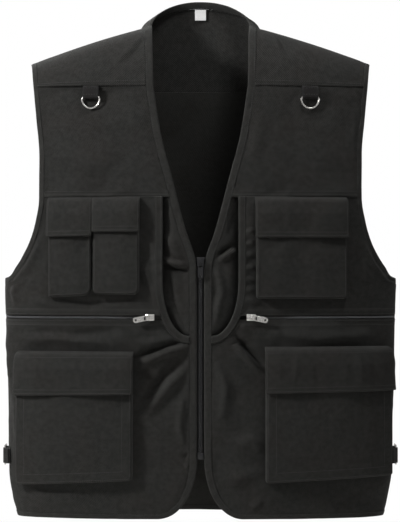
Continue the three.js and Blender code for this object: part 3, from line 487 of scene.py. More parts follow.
    def yoke_front(self, x: Array, turn: Array) -> Array:
        """Return points of the front yoke, turn 0 on its seam and 90 on the shoulder line."""
        seam = self.down(self.yoke_at) + self.seam_gap
        depth = -self.front(x, np.full(np.shape(x), seam))[..., 1]
        rise = np.sin(np.radians(turn))
        return stack(x, -depth * np.cos(np.radians(turn)), seam + (self.shoulder_top(x) - seam) * rise)

    def yoke_back(self, top: Array, seam: Array, turn: Array) -> Array:
        """Return points of the back yoke between its top edge and its seam, fuller at the neck.

        Args:
            top: points of the top edge.
            seam: points of the seam.
            turn: 0 at the top edge and 90 at the seam.

        Returns:
            Points between the two.
        """
        out = np.sin(np.radians(turn))
        beside = np.abs(np.abs(top[..., 0]) - self.neck_half)
        full = self.neck_fullness * np.exp(-beside / self.neck_fade)
        return stack(
            mix(top[..., 0], seam[..., 0], out),
            mix(top[..., 1], seam[..., 1], out),
            mix(seam[..., 2], top[..., 2], np.cos(np.radians(turn)))
            + full * np.sin(np.radians(2 * turn)),
        )

    def back_neck(self, turn: Array, inwards: Array | float) -> Array:
        """Return points of the back neckline, or of a line that lies inwards in the cloth.

        Args:
            turn: 0 at the neck's side and 90 at the centre back.
            inwards: distance from the free edge into the cloth.

        Returns:
            Points of the line.
        """
        across, back = np.cos(np.radians(turn)), np.sin(np.radians(turn))
        half = self.neck_half + inwards
        fold = np.where(np.asarray(inwards) > 0, self.shoulder_top(half), 0)
        return stack(
            half * across,
            (self.neck_setback + self.neck_depth * inwards) * back,
            (self.neck_rise - self.neck_fall * inwards) * back + fold * across,
        )

    def back_seam(self, x: Array) -> Array:
        """Return points of the back yoke's seam."""
        z = np.full(np.shape(x), self.down(self.yoke_at) + self.seam_gap)
        return self.body(1, self.angle(x, z), z)

    def front_edge(self, z: Array) -> Array:
        """Return how far the free front edge lies from the centre line."""
        share = -np.asarray(z) / self.length
        return np.maximum(self.neck_half * self.neckline(share), self.placket_half)

    def front_inset(self, z: Array) -> Array:
        """Return how far the binding's inner line lies from the centre line."""
        z = np.asarray(z, float)
        slope = self.front_edge(z + 1) - self.front_edge(z - 1)
        return self.front_edge(z) + self.band * np.hypot(1, slope / 2)

    def arm_line(self, face: int, step: Array) -> tuple[Array, Array, Array, Array]:
        """Return the armhole's edge and the line a binding's width inside it.

        Args:
            face: -1 for the front, 1 for the back.
            step: place along the armhole's rows, 0 at the yoke and 9 at the side seam.

        Returns:
            Edge points, inset points, and the inset's section angle and height.
        """
        rows = np.arange(len(self.arm_at))
        at, half, lean = (
            np.clip(Column(tuple(rows), tuple(c))(step), min(c), max(c))
            for c in (self.arm_at, self.arm_half, self.arm_lean)
        )
        z = -at * self.length
        angle = self.angle(half * self.half_chest, z)
        near = self.body(face, angle - 1, z) - self.body(face, angle, z)
        per_degree = np.linalg.norm(near, axis=-1)
        inset = angle - self.arm_band * np.cos(np.radians(lean)) / per_degree
        low = z - self.arm_band * np.sin(np.radians(lean))
        return (
            self.body(face, angle, z),
            self.body(face, inset, low),
            np.minimum(inset, self.side_angle),
            low,
        )

    def arm_angle(self, z: Array) -> Array:
        """Return the section angle where the armhole's binding meets the cloth at a height."""
        _, _, angle, low = self.arm_line(-1, np.linspace(0, 9, 400))
        order = np.argsort(low)
        return np.interp(z, low[order], angle[order])

    def slot_edge(self, z: Array, out: float = 0.0) -> Array:
        """Return how far the hand-pocket slot's edge lies from the centre line.

        Args:
            z: height.
            out: distance of a line beside the edge, away from the slot.

        Returns:
            Distance from the centre line.
        """
        centre = self.placket_half + self.band + self.seam_gap
        turn = self.down(self.slot_turn_at)
        fall = turn - self.down(self.slot_end_at) + out
        share = np.clip((turn - np.asarray(z, float)) / fall, 0, 1)
        return centre + (self.slot_half - centre + out) * np.sqrt(1 - share**2)

    def corner_edge(self, z: Array, inwards: float) -> Array:
        """Return how far the rounded front corner lies from the centre line.

        Args:
            z: height.
            inwards: 0 for the free edge, or the binding's width.

        Returns:
            Distance from the centre line.
        """
        top = self.down(self.corner_at)
        fall = self.length + top - (self.hem_band if inwards else 0)
        share = np.clip((top - np.asarray(z, float)) / fall, 0, 1)
        reach = self.corner_half - self.placket_half - inwards
        return self.corner_half - reach * np.sqrt(1 - share**2)

    def outer_lift(self, x: Array) -> Array:
        """Return the outer pocket layer's lift: none at the side, full near the slot."""
        full, flat = self.layer_full * self.half_chest, self.layer_flat * self.half_chest
        return self.layer_lift * (1 - smooth(np.abs(x), full, flat))


WIDEST = 1.0186  # the solids' widest section as a share of half_chest


def measured_form() -> HungForm:
    """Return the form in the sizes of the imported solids."""
    _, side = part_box("back_panel")
    low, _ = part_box("front_hem_binding_left")
    cloth = 0.0008  # half a cloth's thickness in metres
    LOG.info("solids: %.4f m long, %.4f m to the side", -low[2], side[0] - cloth)
    half_chest = (side[0] - cloth) * MILLI / WIDEST
    return HungForm(length=round(-low[2] * MILLI, 1), half_chest=round(half_chest, 1))


FORM = measured_form()
GIRTH = FORM.girth_table()


# Folds and unevenness of the cloth


STEP_GAIN = 2.2  # brings a step's crests to about its listed height


class FoldKind(Enum):
    """How the cloth stands along a fold."""

    RIDGE = "ridge"
    STEP = "step"


@dataclass(frozen=True)
class Fold:
    """A fold along a line of the cloth.

    Attributes:
        line: points of the line, in lengths of cloth from the centre line and heights.
        width: distance over which the fold fades.
        height: how far it stands out, or in where it is negative.
        kind: a ridge, or a step with light on one side and shade on the other.
    """

    line: tuple[tuple[float, float], ...]
    width: float
    height: float
    kind: FoldKind = FoldKind.RIDGE

    def relief(self, s: Array, z: Array) -> Array:
        """Return the fold's height over cloth at lengths s and heights z.

        Args:
            s: lengths of cloth from the centre line.
            z: heights.

        Returns:
            Height above the unfolded cloth.
        """
        points = np.array(self.line, float)
        spans = np.linalg.norm(np.diff(points, axis=0), axis=1)
        reached = np.concatenate([[0], np.cumsum(spans)]) / spans.sum()
        nearest = np.full(np.shape(s), 1e9)
        signed, along = np.zeros(np.shape(s)), np.zeros(np.shape(s))
        for (x0, z0), (x1, z1), span, begin, end in zip(
            points[:-1], points[1:], spans, reached[:-1], reached[1:]
        ):
            ahead = np.array([x1 - x0, z1 - z0]) / span
            t = np.clip((s - x0) * ahead[0] + (z - z0) * ahead[1], 0, span)
            off_x, off_z = s - x0 - ahead[0] * t, z - z0 - ahead[1] * t
            away = np.hypot(off_x, off_z)
            closer = away < nearest
            side = np.sign(off_x * ahead[1] - off_z * ahead[0])
            nearest = np.where(closer, away, nearest)
            signed = np.where(closer, away * side, signed)
            along = np.where(closer, begin + (end - begin) * t / span, along)
        fade = np.exp(-((signed / self.width) ** 2))
        if self.kind is FoldKind.STEP:
            fade = fade * signed / self.width * STEP_GAIN
        return self.height * fade * np.sin(np.pi * np.clip(along, 0.02, 0.98)) ** 0.7


@dataclass(frozen=True)
class Unevenness:
    """Soft random relief, from a seeded lattice."""

    seed: int
    sizes: tuple[float, ...] = (70.0, 26.0, 10.0)
    heights: tuple[float, ...] = (1.2, 0.5, 0.16)

    def relief(self, s: Array, z: Array) -> Array:
        """Return the relief over cloth at lengths s and heights z.

        Args:
            s: lengths of cloth from the centre line.
            z: heights.

        Returns:
            Height above the even cloth.
        """
        total = np.zeros(np.shape(s))
        for octave, (size, height) in enumerate(zip(self.sizes, self.heights)):
            lattice = np.random.default_rng(self.seed * 17 + octave).standard_normal((96, 96))
            u, v = s / size + 48, z / size + 48
            i, j = np.floor(u).astype(int), np.floor(v).astype(int)
            a, b = smooth(u - i, 0, 1), smooth(v - j, 0, 1)
            i, j = i % 95, j % 95
            low = mix(lattice[i, j], lattice[i + 1, j], a)
            high = mix(lattice[i, j + 1], lattice[i + 1, j + 1], a)
            total = total + height * mix(low, high, b)
        return total


def pucker(distance: Array, along: Array, seed: int, height: float = 0.35, reach: float = 7.0) -> Array:
    """Return the small gathers that a stitched seam draws in the cloth beside it.

    Args:
        distance: how far the cloth lies from the seam.
        along: place along the seam.
        seed: start of the random pattern.
        height: height of the gathers at the seam.
        reach: distance over which they fade.

    Returns:
        Their relief.
    """
    ripple = Unevenness(seed, (9.0, 4.5), (1.0, 0.4)).relief(along, np.full(np.shape(along), 0.5))
    return height * ripple * np.exp(-np.abs(distance) / reach)


def graded(length: float, coarse: float, low: bool = True, high: bool = True) -> Array:
    """Return stations along a length, closer together towards the ends that are asked for.

    Args:
        length: the whole length.
        coarse: spacing away from the ends.
        low: whether to close up towards the start.
        high: whether to close up towards the end.

    Returns:
        Rising stations from 0 to length.
    """
    near = np.array([0.0, 0.7, 1.4, 2.1, 3.0, 4.0, 5.2, 6.6, 8.2, 10.0])
    start = near if low else near[:1]
    end = (length - near[::-1]) if high else np.array([length])
    count = max(int(round((end[0] - start[-1]) / coarse)), 1)
    return np.concatenate([start[:-1], np.linspace(start[-1], end[0], count + 1), end[1:]])


# Mesh helpers


def new_object(name: str, points: Array, faces: Sequence, finish: Finish) -> Piece:
    """Make a smooth-shaded mesh object at the origin.

    Args:
        name: the piece's name.
        points: vertices in millimetres.
        faces: vertex numbers of each face.
        finish: what it is made of.

    Returns:
        The linked object.
    """
    mesh = bpy.data.meshes.new(name)
    mesh.from_pydata((np.asarray(points) / MILLI).tolist(), [], faces)
    mesh.polygons.foreach_set("use_smooth", [True] * len(mesh.polygons))
    mesh.materials.append(finish.material())
    mesh.update()
    made = bpy.data.objects.new(name, mesh)
    bpy.context.collection.objects.link(made)
    return made


def vertex_normals(points: Array, quads: Array) -> Array:
    """Return the normal at each point of a quad sheet.

    Args:
        points: vertices.
        quads: vertex numbers of each face.

    Returns:
        One direction for each vertex.
    """
    a, b, c, d = (points[quads[:, k]] for k in range(4))
    facing = np.cross(c - a, d - b)
    normals = np.zeros_like(points)
    for k in range(4):
        np.add.at(normals, quads[:, k], facing)
    return unit(normals)


@dataclass
class Patch:
    """A grid of cloth: rows run down and columns to the right, seen from outside."""

    points: Array
    cloth: Array
    relief: Array
    rubbed: Array

    @classmethod
    def of(
        cls, points: Array, cloth: Array, relief: Array | float = 0.0, rubbed: Array | float = 0.0
    ) -> "Patch":
        """Return a patch whose relief and wear may be one number."""
        shape = points.shape[:2]
        return cls(points, cloth, np.broadcast_to(relief, shape), np.broadcast_to(rubbed, shape))

    def across(self) -> "Patch":
        """Return the patch with its columns turned round."""
        grids = self.points, self.cloth, self.relief, self.rubbed
        return Patch(*(grid[:, ::-1] for grid in grids))


def tube_faces(rounds: int, size: int, closed: bool) -> list[tuple[int, ...]]:
    """Return the faces between rings of points.

    Args:
        rounds: number of rings.
        size: points in one ring.
        closed: whether the last ring joins the first; else both ends are capped.

    Returns:
        Vertex numbers of each face.
    """
    faces = []
    for r in range(rounds if closed else rounds - 1):
        a, b = r * size, ((r + 1) % rounds) * size
        for k in range(size):
            n = (k + 1) % size
            faces.append((a + k, b + k, b + n, a + n))
    if not closed:
        last = (rounds - 1) * size
        faces += [tuple(range(size))[::-1], tuple(last + k for k in range(size))]
    return faces


def face_outwards(made: Piece) -> None:
    """Turn the faces of a closed tube outwards.

    Args:
        made: the tube.
    """
    body = bmesh.new()
    body.from_mesh(made.data)
    bmesh.ops.recalc_face_normals(body, faces=body.faces)
    body.to_mesh(made.data)
    body.free()


def mark_cloth(made: Piece, cloth: Array, rubbed: Array) -> None:
    """Give a piece its UV map, from millimetres of cloth, and its wear.

    Args:
        made: the piece.
        cloth: place of each vertex in the flat cut.
        rubbed: wear of each vertex, from 0 to 1.
    """
    corners = np.zeros(len(made.data.loops), int)
    made.data.loops.foreach_get("vertex_index", corners)
    uv = made.data.uv_layers.new(name="cloth")
    uv.data.foreach_set("uv", (cloth[corners] / MILLI).ravel())
    wear = made.data.attributes.new("rubbed", "FLOAT", "POINT")
    wear.data.foreach_set("value", rubbed)


RIM_BULGE = 0.4  # how far a cut edge is rounded, as a share of the wall
INNER_WEAR = 0.4  # wear of the cloth's inner side as a share of the outer's


def cloth_sheet(name: str, patches: Sequence[Patch], wall: float, finish: Finish) -> Piece:
    """Sew patches into one closed sheet with a wall and soft edges.

    Args:
        name: the piece's name.
        patches: grids that join where they share points.
        wall: thickness of the cloth.
        finish: what it is made of.

    Returns:
        The sheet, with its UV map in metres of cloth and its wear in the attribute rubbed.
    """
    raw = np.concatenate([p.points.reshape(-1, 3) for p in patches])
    cloth = np.concatenate([p.cloth.reshape(-1, 2) for p in patches])
    relief = np.concatenate([np.ravel(p.relief) for p in patches])
    rubbed = np.concatenate([np.ravel(p.rubbed) for p in patches])
    quads, start = [], 0
    for patch in patches:
        rows, columns = patch.points.shape[:2]
        grid = start + np.arange(rows * columns).reshape(rows, columns)
        quads.append(
            np.stack([grid[:-1, :-1], grid[1:, :-1], grid[1:, 1:], grid[:-1, 1:]], -1).reshape(-1, 4)
        )
        start += rows * columns
    quads = np.concatenate(quads)
    _, first, merged = np.unique(np.round(raw, 2), axis=0, return_index=True, return_inverse=True)
    merged = merged.reshape(-1)
    quads = merged[quads]
    points, cloth, relief, rubbed = raw[first], cloth[first], relief[first], rubbed[first]
    points = points + vertex_normals(points, quads) * relief[:, None]
    normals = vertex_normals(points, quads)

    count = len(points)
    edges = np.concatenate([quads[:, [k, (k + 1) % 4]] for k in range(4)])
    edges = edges[edges[:, 0] != edges[:, 1]]
    keys = edges[:, 0] * count + edges[:, 1]
    border = edges[~np.isin(keys, edges[:, 1] * count + edges[:, 0])]
    outwards = np.zeros_like(points)
    begin, end = border[:, 0], border[:, 1]
    side = np.cross(points[end] - points[begin], normals[begin])
    np.add.at(outwards, begin, side)
    np.add.at(outwards, end, side)
    rim_of = np.full(count, -1)
    rim_points = np.unique(border)
    rim_of[rim_points] = 2 * count + np.arange(len(rim_points))
    rim = points[rim_points] + unit(outwards[rim_points]) * wall * RIM_BULGE

    shell = np.concatenate([points + normals * wall / 2, points - normals * wall / 2, rim])
    faces = [*quads.tolist(), *(quads[:, ::-1] + count).tolist()]
    for a, b in border.tolist():
        faces.append((b, a, int(rim_of[a]), int(rim_of[b])))
        faces.append((int(rim_of[b]), int(rim_of[a]), a + count, b + count))
    faces = [tuple(dict.fromkeys(face)) for face in faces]
    faces = [face for face in faces if len(face) > 2]
    made = new_object(name, shell, faces, finish)

    source = np.concatenate([np.arange(count), np.arange(count), rim_points])
    worn = rubbed[source]
    worn[count : 2 * count] *= INNER_WEAR
    mark_cloth(made, cloth[source], worn)
    return made


def bevelled_copy(node: str, name: str, finish: Finish, width: float) -> Piece:
    """Copy a hard node with its doubles merged and its edges rounded.

    Args:
        node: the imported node.
        name: the new piece's name.
        finish: what it is made of.
        width: width of the rounded edges in millimetres.

    Returns:
        The piece, with its modifiers applied.
    """
    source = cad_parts[node]
    mesh = bpy.data.meshes.new(name)
    body = bmesh.new()
    body.from_mesh(source.data)
    bmesh.ops.remove_doubles(body, verts=body.verts, dist=1e-5)
    bmesh.ops.dissolve_limit(body, angle_limit=math.radians(3), verts=body.verts, edges=body.edges)
    body.to_mesh(mesh)
    body.free()
    mesh.materials.clear()
    mesh.materials.append(finish.material())
    made = bpy.data.objects.new(name, mesh)
    bpy.context.collection.objects.link(made)
    bevel = made.modifiers.new("edges", "BEVEL")
    bevel.width = width / MILLI
    bevel.segments = 3
    bevel.limit_method = "ANGLE"
    bevel.angle_limit = math.radians(35)
    bevel.harden_normals = False
    return applied(made)


def applied(made: Piece) -> Piece:
    """Return a piece with its modifiers turned into plain mesh and smooth shading.

    Args:
        made: the piece.

    Returns:
        The same piece.
    """
    graph = bpy.context.evaluated_depsgraph_get()
    mesh = bpy.data.meshes.new_from_object(made.evaluated_get(graph))
    made.modifiers.clear()
    made.data = mesh
    mesh.polygons.foreach_set("use_smooth", [True] * len(mesh.polygons))
    return made


def outside_of(made: Piece) -> BVHTree:
    """Return a search tree over a piece's mesh."""
    mesh = made.data
    return BVHTree.FromPolygons([v.co for v in mesh.vertices], [tuple(p.vertices) for p in mesh.polygons])


RAY_FROM = 14  # how far outside a line the search for the cloth below it starts, in mm
RAY_REACH = 0.03  # how far it looks, in metres


def settle(line: Array, outer: Array, tree: BVHTree, lift: float) -> Line:
    """Lay a line on the outside of a piece.

    Args:
        line: points near the piece, in millimetres.
        outer: outward directions at the points.
        tree: search tree of the piece.
        lift: distance above its surface.

    Returns:
        The points that met the piece and their outward directions.
    """
    laid, facing = [], []
    for point, out in zip(line, unit(outer)):
        start = Vector((point + out * RAY_FROM) / MILLI)
        hit, normal, _, _ = tree.ray_cast(start, Vector(-out), RAY_REACH)
        if hit is not None:
            laid.append(np.array(hit) * MILLI + np.array(normal) * lift)
            facing.append(np.array(normal))
    return np.array(laid), np.array(facing)


class Repeat(Enum):
    """What a row of small pieces is made of."""

    STITCH = "stitch"
    TOOTH = "tooth"
    COIL = "coil"


@dataclass(frozen=True)
class Row:
    """A row of small pieces along lines: pitch, and the size of one piece along, across and up."""

    kind: Repeat
    pitch: float
    size: tuple[float, float, float]
    finish: Finish

    def tree(self) -> Tree:
        """Return the node tree that lays the pieces along the lines."""
        known = bpy.data.node_groups.get(f"row_of_{self.kind.value}")
        if known is not None:
            return known
        tree = bpy.data.node_groups.new(f"row_of_{self.kind.value}", "GeometryNodeTree")
        face = tree.interface
        for label, kind in (
            ("Lines", "Geometry"), ("Pitch", "Float"), ("Piece Size", "Vector"), ("Finish", "Material"),
        ):
            face.new_socket(label, in_out="INPUT", socket_type=f"NodeSocket{kind}")
        face.new_socket("Row", in_out="OUTPUT", socket_type="NodeSocketGeometry")
        given = add_node(tree, "NodeGroupInput").outputs
        lines = add_node(tree, "GeometryNodeMeshToCurve", {"Mesh": given["Lines"]}).outputs[0]
        inputs = {"Curve": lines, "Length": given["Pitch"]}
        points = add_node(tree, "GeometryNodeResampleCurve", inputs, mode="LENGTH").outputs[0]
        inputs = {"Vector": add_node(tree, "GeometryNodeInputTangent").outputs[0]}
        ahead = add_node(tree, "FunctionNodeAlignRotationToVector", inputs, axis="X").outputs[0]
        kind = "GeometryNodeInputNamedAttribute"
        rise = add_node(tree, kind, {"Name": "rise"}, data_type="FLOAT_VECTOR")
        inputs = {"Rotation": ahead, "Vector": rise.outputs["Attribute"]}
        kind = "FunctionNodeAlignRotationToVector"
        turned = add_node(tree, kind, inputs, axis="Z", pivot_axis="X").outputs[0]
        inputs = {"Points": points, "Instance": self.piece(tree)}
        inputs |= {"Rotation": turned, "Scale": given["Piece Size"]}
        laid = add_node(tree, "GeometryNodeInstanceOnPoints", inputs).outputs[0]
        solid = add_node(tree, "GeometryNodeRealizeInstances", {"Geometry": laid}).outputs[0]
        inputs = {"Geometry": solid, "Material": given["Finish"]}
        dressed = add_node(tree, "GeometryNodeSetMaterial", inputs).outputs[0]
        add_node(tree, "NodeGroupOutput", {0: dressed})
        return tree

    def piece(self, tree: Tree) -> Socket:
        """Return one piece of unit size: a grain of thread, a moulded tooth or a turn of coil.

        Args:
            tree: node tree that takes the piece's nodes.

        Returns:
            The piece's geometry.
        """
        if self.kind is Repeat.COIL:
            kind = "GeometryNodeCurvePrimitiveCircle"
            ring = add_node(tree, kind, {"Resolution": 9, "Radius": 0.5}).outputs[0]
            wire = add_node(tree, kind, {"Resolution": 5, "Radius": 0.16}).outputs[0]
            inputs = {"Curve": ring, "Profile Curve": wire}
            shape = add_node(tree, "GeometryNodeCurveToMesh", inputs).outputs[0]
            tilt = math.radians(78)
        else:
            inputs = {"Segments": 6 if self.kind is Repeat.STITCH else 8, "Rings": 4, "Radius": 0.5}
            shape = add_node(tree, "GeometryNodeMeshUVSphere", inputs).outputs["Mesh"]
            tilt = math.pi / 2
        inputs = {"Geometry": shape, "Rotation": (0, tilt, 0)}
        return add_node(tree, "GeometryNodeTransform", inputs).outputs[0]

    def along(self, name: str, lines: Sequence[Line]) -> Piece:
        """Lay the row along lines.

        Args:
            name: the new piece's name.
            lines: points and outward directions of each line.

        Returns:
            One plain mesh object with all the small pieces.
        """
        lines = [(points, rise) for points, rise in lines if len(points) > 1]
        points = np.concatenate([p for p, _ in lines]) / MILLI
        edges, start = [], 0
        for line, _ in lines:
            edges += [(start + k, start + k + 1) for k in range(len(line) - 1)]
            start += len(line)
        mesh = bpy.data.meshes.new(name)
        mesh.from_pydata(points.tolist(), edges, [])
        rise = mesh.attributes.new("rise", "FLOAT_VECTOR", "POINT")
        rise.data.foreach_set("vector", np.concatenate([r for _, r in lines]).ravel())
        made = bpy.data.objects.new(name, mesh)
        bpy.context.collection.objects.link(made)
        modifier = made.modifiers.new("row", "NODES")
        modifier.node_group = self.tree()
        values = {
            "Pitch": self.pitch / MILLI,
            "Piece Size": tuple(v / MILLI for v in self.size),
            "Finish": self.finish.material(),
        }
        for item in modifier.node_group.interface.items_tree:
            if item.name in values:
                modifier[item.identifier] = values[item.name]
        return applied(made)


TOPSTITCH = Row(Repeat.STITCH, 3.0, (2.4, 0.75, 0.5), THREAD)
CHAIN_TEETH = Row(Repeat.TOOTH, 2.1, (1.5, 3.4, 2.2), MOULDED)
COIL_TURNS = Row(Repeat.COIL, 1.25, (2.0, 2.3, 1.8), NYLON)


def dress(made: Piece, nodes: Sequence[str] = (), body: str = "vest") -> Piece:
    """Hand a piece to the frame.

    Args:
        made: the piece.
        nodes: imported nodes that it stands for.
        body: the body that it moves with.

    Returns:
        The piece.
    """
    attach(made, body)
    if nodes:
        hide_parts(*nodes)
    LOG.info("%s: %d faces", made.name, len(made.data.polygons))
    return made


def declare_sheet(made: Piece) -> None:
    """Read a cloth piece's flat cut from its UV map; nothing more is done with it.

    Args:
        made: the piece, whose UV map is its flat cut.
    """
    uv = np.zeros(len(made.data.loops) * 2)
    made.data.uv_layers["cloth"].data.foreach_get("uv", uv)


def sew(
    name: str,
    patch: Patch,
    side: int,
    wall: float,
    finish: Finish,
    nodes: Sequence[str],
) -> Piece:
    """Make one grid of cloth into a sheet and hand it to the frame.

    Args:
        name: the new piece's name.
        patch: its grid; on the left, columns run from the centre line outwards.
        side: -1 for the left, else 1.
        wall: thickness of the cloth.
        finish: what it is made of.
        nodes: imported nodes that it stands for.

    Returns:
        The sheet.
    """
    made = cloth_sheet(name, [patch.across() if side < 0 else patch], wall, finish)
    dress(made, nodes)
    declare_sheet(made)
    return made


def unlifted(x: Array, z: Array) -> Array:
    """Return no lift, for a panel that lies on the form."""
    return np.zeros(np.broadcast(x, z).shape)


STITCH_LIFT = 0.12  # how high topstitching lies on the cloth


# Front panels


@dataclass
class FrontPanel:
    """A panel of one front, between two edges that are given for each height.

    Attributes:
        name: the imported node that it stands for.
        side: -1 for the left, 1 for the right.
        top: height of its top edge.
        bottom: height of its bottom edge.
        inner: distance of its inner edge from the centre line, by height.
        outer: section angle of its outer edge, by height.
        finish: what it is made of.
        folds: its folds, on the side that it lies on.
        seed: start of its unevenness.
        lift: how far it stands off the form, by place and height.
        seams: heights of the creases beside its sewn edges.
        wall: thickness of the cloth.
        rough: heights of its unevenness, from large to small.
        search: search tree over the finished sheet.
    """

    name: str
    side: int
    top: float
    bottom: float
    inner: Callable[[Array], Array]
    outer: Callable[[Array], Array]
    finish: Finish
    folds: tuple[Fold, ...] = ()
    seed: int = 1
    lift: Callable[[Array, Array], Array] = unlifted
    seams: tuple[float, ...] = ()
    grid: float = 2.6  # spacing of its points
    wall: float = 1.6
    rough: tuple[float, ...] = (1.35, 0.75, 0.26)
    depth: float = 2.9  # how deep its folds stand, for the heights that are listed
    search: BVHTree = field(init=False)

    def build(self) -> "FrontPanel":
        """Cut the panel as a fine sheet, hand it to the frame and return it."""
        z = self.top - graded(self.top - self.bottom, self.grid)
        start = FORM.girth(FORM.angle(self.inner(z), z))
        end = FORM.girth(self.outer(z))
        widest = float(np.max(end - start))
        share = graded(widest, self.grid) / widest
        s = mix(start[:, None], end[:, None], share[None, :])
        height = np.broadcast_to(z[:, None], s.shape)
        angle = FORM.angle_of_girth(s)
        x = np.abs(FORM.body(-1, angle, height)[..., 0])
        relief = self.relief(s, height, s - start[:, None], end[:, None] - s)
        rubbed = np.zeros(s.shape)
        for seam in self.seams:
            rubbed = rubbed + 0.5 * np.exp(-np.abs(height - seam) / 1.2)
        points = FORM.body(-1, self.side * angle, height, self.lift(x, height))
        patch = Patch.of(points, np.stack([self.side * s, height], -1), relief, rubbed)
        cloth, nodes = f"{self.name}_cloth", [self.name]
        made = sew(cloth, patch, self.side, self.wall, self.finish, nodes)
        self.search = outside_of(made)
        return self

    def relief(self, s: Array, z: Array, from_inner: Array, from_outer: Array) -> Array:
        """Return the panel's relief.

        Args:
            s: length of cloth from the centre line.
            z: height.
            from_inner: distance from the inner edge.
            from_outer: distance from the outer edge.

        Returns:
            Height above the form.
        """
        total = Unevenness(self.seed, heights=self.rough).relief(self.side * s, z)
        for fold in self.folds:
            total = total + self.depth * fold.relief(s, z)
        total = total + pucker(from_inner, z, self.seed + 3, 0.4)
        total = total + pucker(from_outer, z, self.seed + 4, 0.2)
        for k, seam in enumerate(self.seams):
            total = total + pucker(z - seam, s, self.seed + 5 + k, 0.22, 6)
            total = total - 0.35 * np.exp(-(((z - seam) / 0.9) ** 2))
        edge = np.minimum(np.minimum(from_inner, from_outer), np.minimum(self.top - z, z - self.bottom))
        return total * smooth(edge, -3, 9)

    def seam_line(self, x: Array, z: Array) -> Line:
        """Return a line laid on the panel, with its outward directions."""
        z = np.broadcast_to(z, np.shape(x)).astype(float)
        near = FORM.front(self.side * np.asarray(x, float), z)
        out = FORM.front(self.side * np.asarray(x, float), z, 1.0) - near
        return settle(near, out, self.search, STITCH_LIFT)

    def girth_line(self, s: Array, z: Array) -> Line:
        """Return a line at lengths of cloth from the centre line, laid on the panel.

        Args:
            s: lengths of cloth from the centre line.
            z: heights.

        Returns:
            The line with its outward directions.
        """
        s = np.asarray(s, float)
        z = np.broadcast_to(z, s.shape).astype(float)
        angle = self.side * FORM.angle_of_girth(s)
        near = FORM.body(-1, angle, z)
        return settle(near, FORM.body(-1, angle, z, 1.0) - near, self.search, STITCH_LIFT)


def girth_at(x: float, z: float) -> float:
    """Return the length of cloth from the centre line to a place on the front."""
    return float(FORM.girth(FORM.angle(np.array(x), np.array(z))))


# Photograph's frame, for folds that are given by their place in the photograph
PIXEL_MM = 1.355  # millimetres of the front for one pixel
CENTRE_PX = 200.5
MIDDLE_PY = 261.0
MIDDLE_Z = -323.0


def seen(*pixels: tuple[float, float]) -> tuple[tuple[float, float], ...]:
    """Return places on the cloth of one front from where they are seen in the photograph."""
    line = []
    for px, py in pixels:
        x, z = abs(px - CENTRE_PX) * PIXEL_MM, MIDDLE_Z - (py - MIDDLE_PY) * PIXEL_MM
        line.append((girth_at(x, z), z))
    return tuple(line)


LEFT_FOLDS = {
    "chest": (Fold(seen((60, 150), (110, 178)), 12, 0.8), Fold(seen((125, 100), (150, 150)), 10, 0.7)),
    "pocket": (
        Fold(seen((150, 260), (146, 270), (151, 284)), 5, 1.2),
        Fold(seen((20, 282), (12, 292), (17, 306)), 5, 1.6),
        Fold(seen((8, 284), (26, 262), (40, 232)), 7, -1.1, FoldKind.STEP),
        Fold(seen((50, 298), (92, 303), (140, 298)), 5, -1.3),
        Fold(seen((28, 300), (60, 306)), 6, 0.9),
    ),
    "under": (
        Fold(seen((164, 261), (176, 267), (190, 268)), 4.5, 3.0, FoldKind.STEP),
        Fold(seen((163, 232), (180, 254), (188, 262)), 6, 1.6),
        Fold(seen((168, 270), (172, 300), (184, 326)), 5, -1.6),
    ),
    "lower": (
        Fold(seen((190, 342), (165, 349), (136, 362)), 6.5, 3.4, FoldKind.STEP),
        Fold(seen((187, 362), (168, 380), (142, 412)), 9, 2.8, FoldKind.STEP),
        Fold(seen((184, 338), (160, 344), (138, 342)), 6, 1.8),
        Fold(seen((20, 340), (60, 337), (110, 344)), 7, 2.0),
        Fold(seen((30, 331), (75, 335), (125, 329)), 6, -1.6),
        Fold(seen((183, 398), (180, 425), (184, 445)), 5, 1.6),
        Fold(seen((190, 452), (184, 458)), 2.6, -1.6),
        Fold(seen((191, 463), (185, 468)), 2.6, 1.4),
        Fold(seen((28, 494), (52, 500), (80, 497)), 7, 1.5),
        Fold(seen((12, 400), (18, 440), (14, 480)), 6, 1.2),
    ),
}
RIGHT_FOLDS = {
    "chest": (Fold(seen((300, 110), (330, 165)), 14, 0.8), Fold(seen((262, 110), (252, 170)), 10, 0.7)),
    "pocket": (
        Fold(seen((241, 233), (256, 230)), 2.6, 1.7),
        Fold(seen((241, 244), (255, 243)), 2.4, 1.9),
        Fold(seen((241, 255), (256, 254)), 2.6, 1.7),
        Fold(seen((241, 266), (255, 268)), 2.5, 1.9),
        Fold(seen((240, 277), (254, 281)), 2.6, 1.7),
        Fold(seen((240, 288), (256, 290)), 2.6, 1.5),
        Fold(seen((240, 298), (262, 303)), 3.0, 1.3),
        Fold(seen((392, 282), (376, 262), (364, 236)), 7, -1.2, FoldKind.STEP),
        Fold(seen((362, 240), (366, 300)), 9, 1.4),
    ),
    "under": (
        Fold(seen((217, 259), (229, 251), (237, 247)), 4.5, 2.6, FoldKind.STEP),
        Fold(seen((216, 262), (222, 290), (214, 325)), 5, 1.8),
        Fold(seen((229, 236), (236, 210)), 4, -1.2),
    ),
    "lower": (
        Fold(seen((232, 338), (246, 352), (262, 369)), 5.5, 3.0, FoldKind.STEP),
        Fold(seen((215, 360), (226, 385), (223, 420)), 6, 1.8),
        Fold(seen((262, 333), (320, 338), (380, 334)), 7, 1.5),
        Fold(seen((236, 444), (252, 440), (262, 452)), 7, 1.6),
        Fold(seen((218, 470), (232, 480), (262, 470)), 9, 1.6),
        Fold(seen((250, 508), (262, 500)), 5, 1.3),
    ),
}


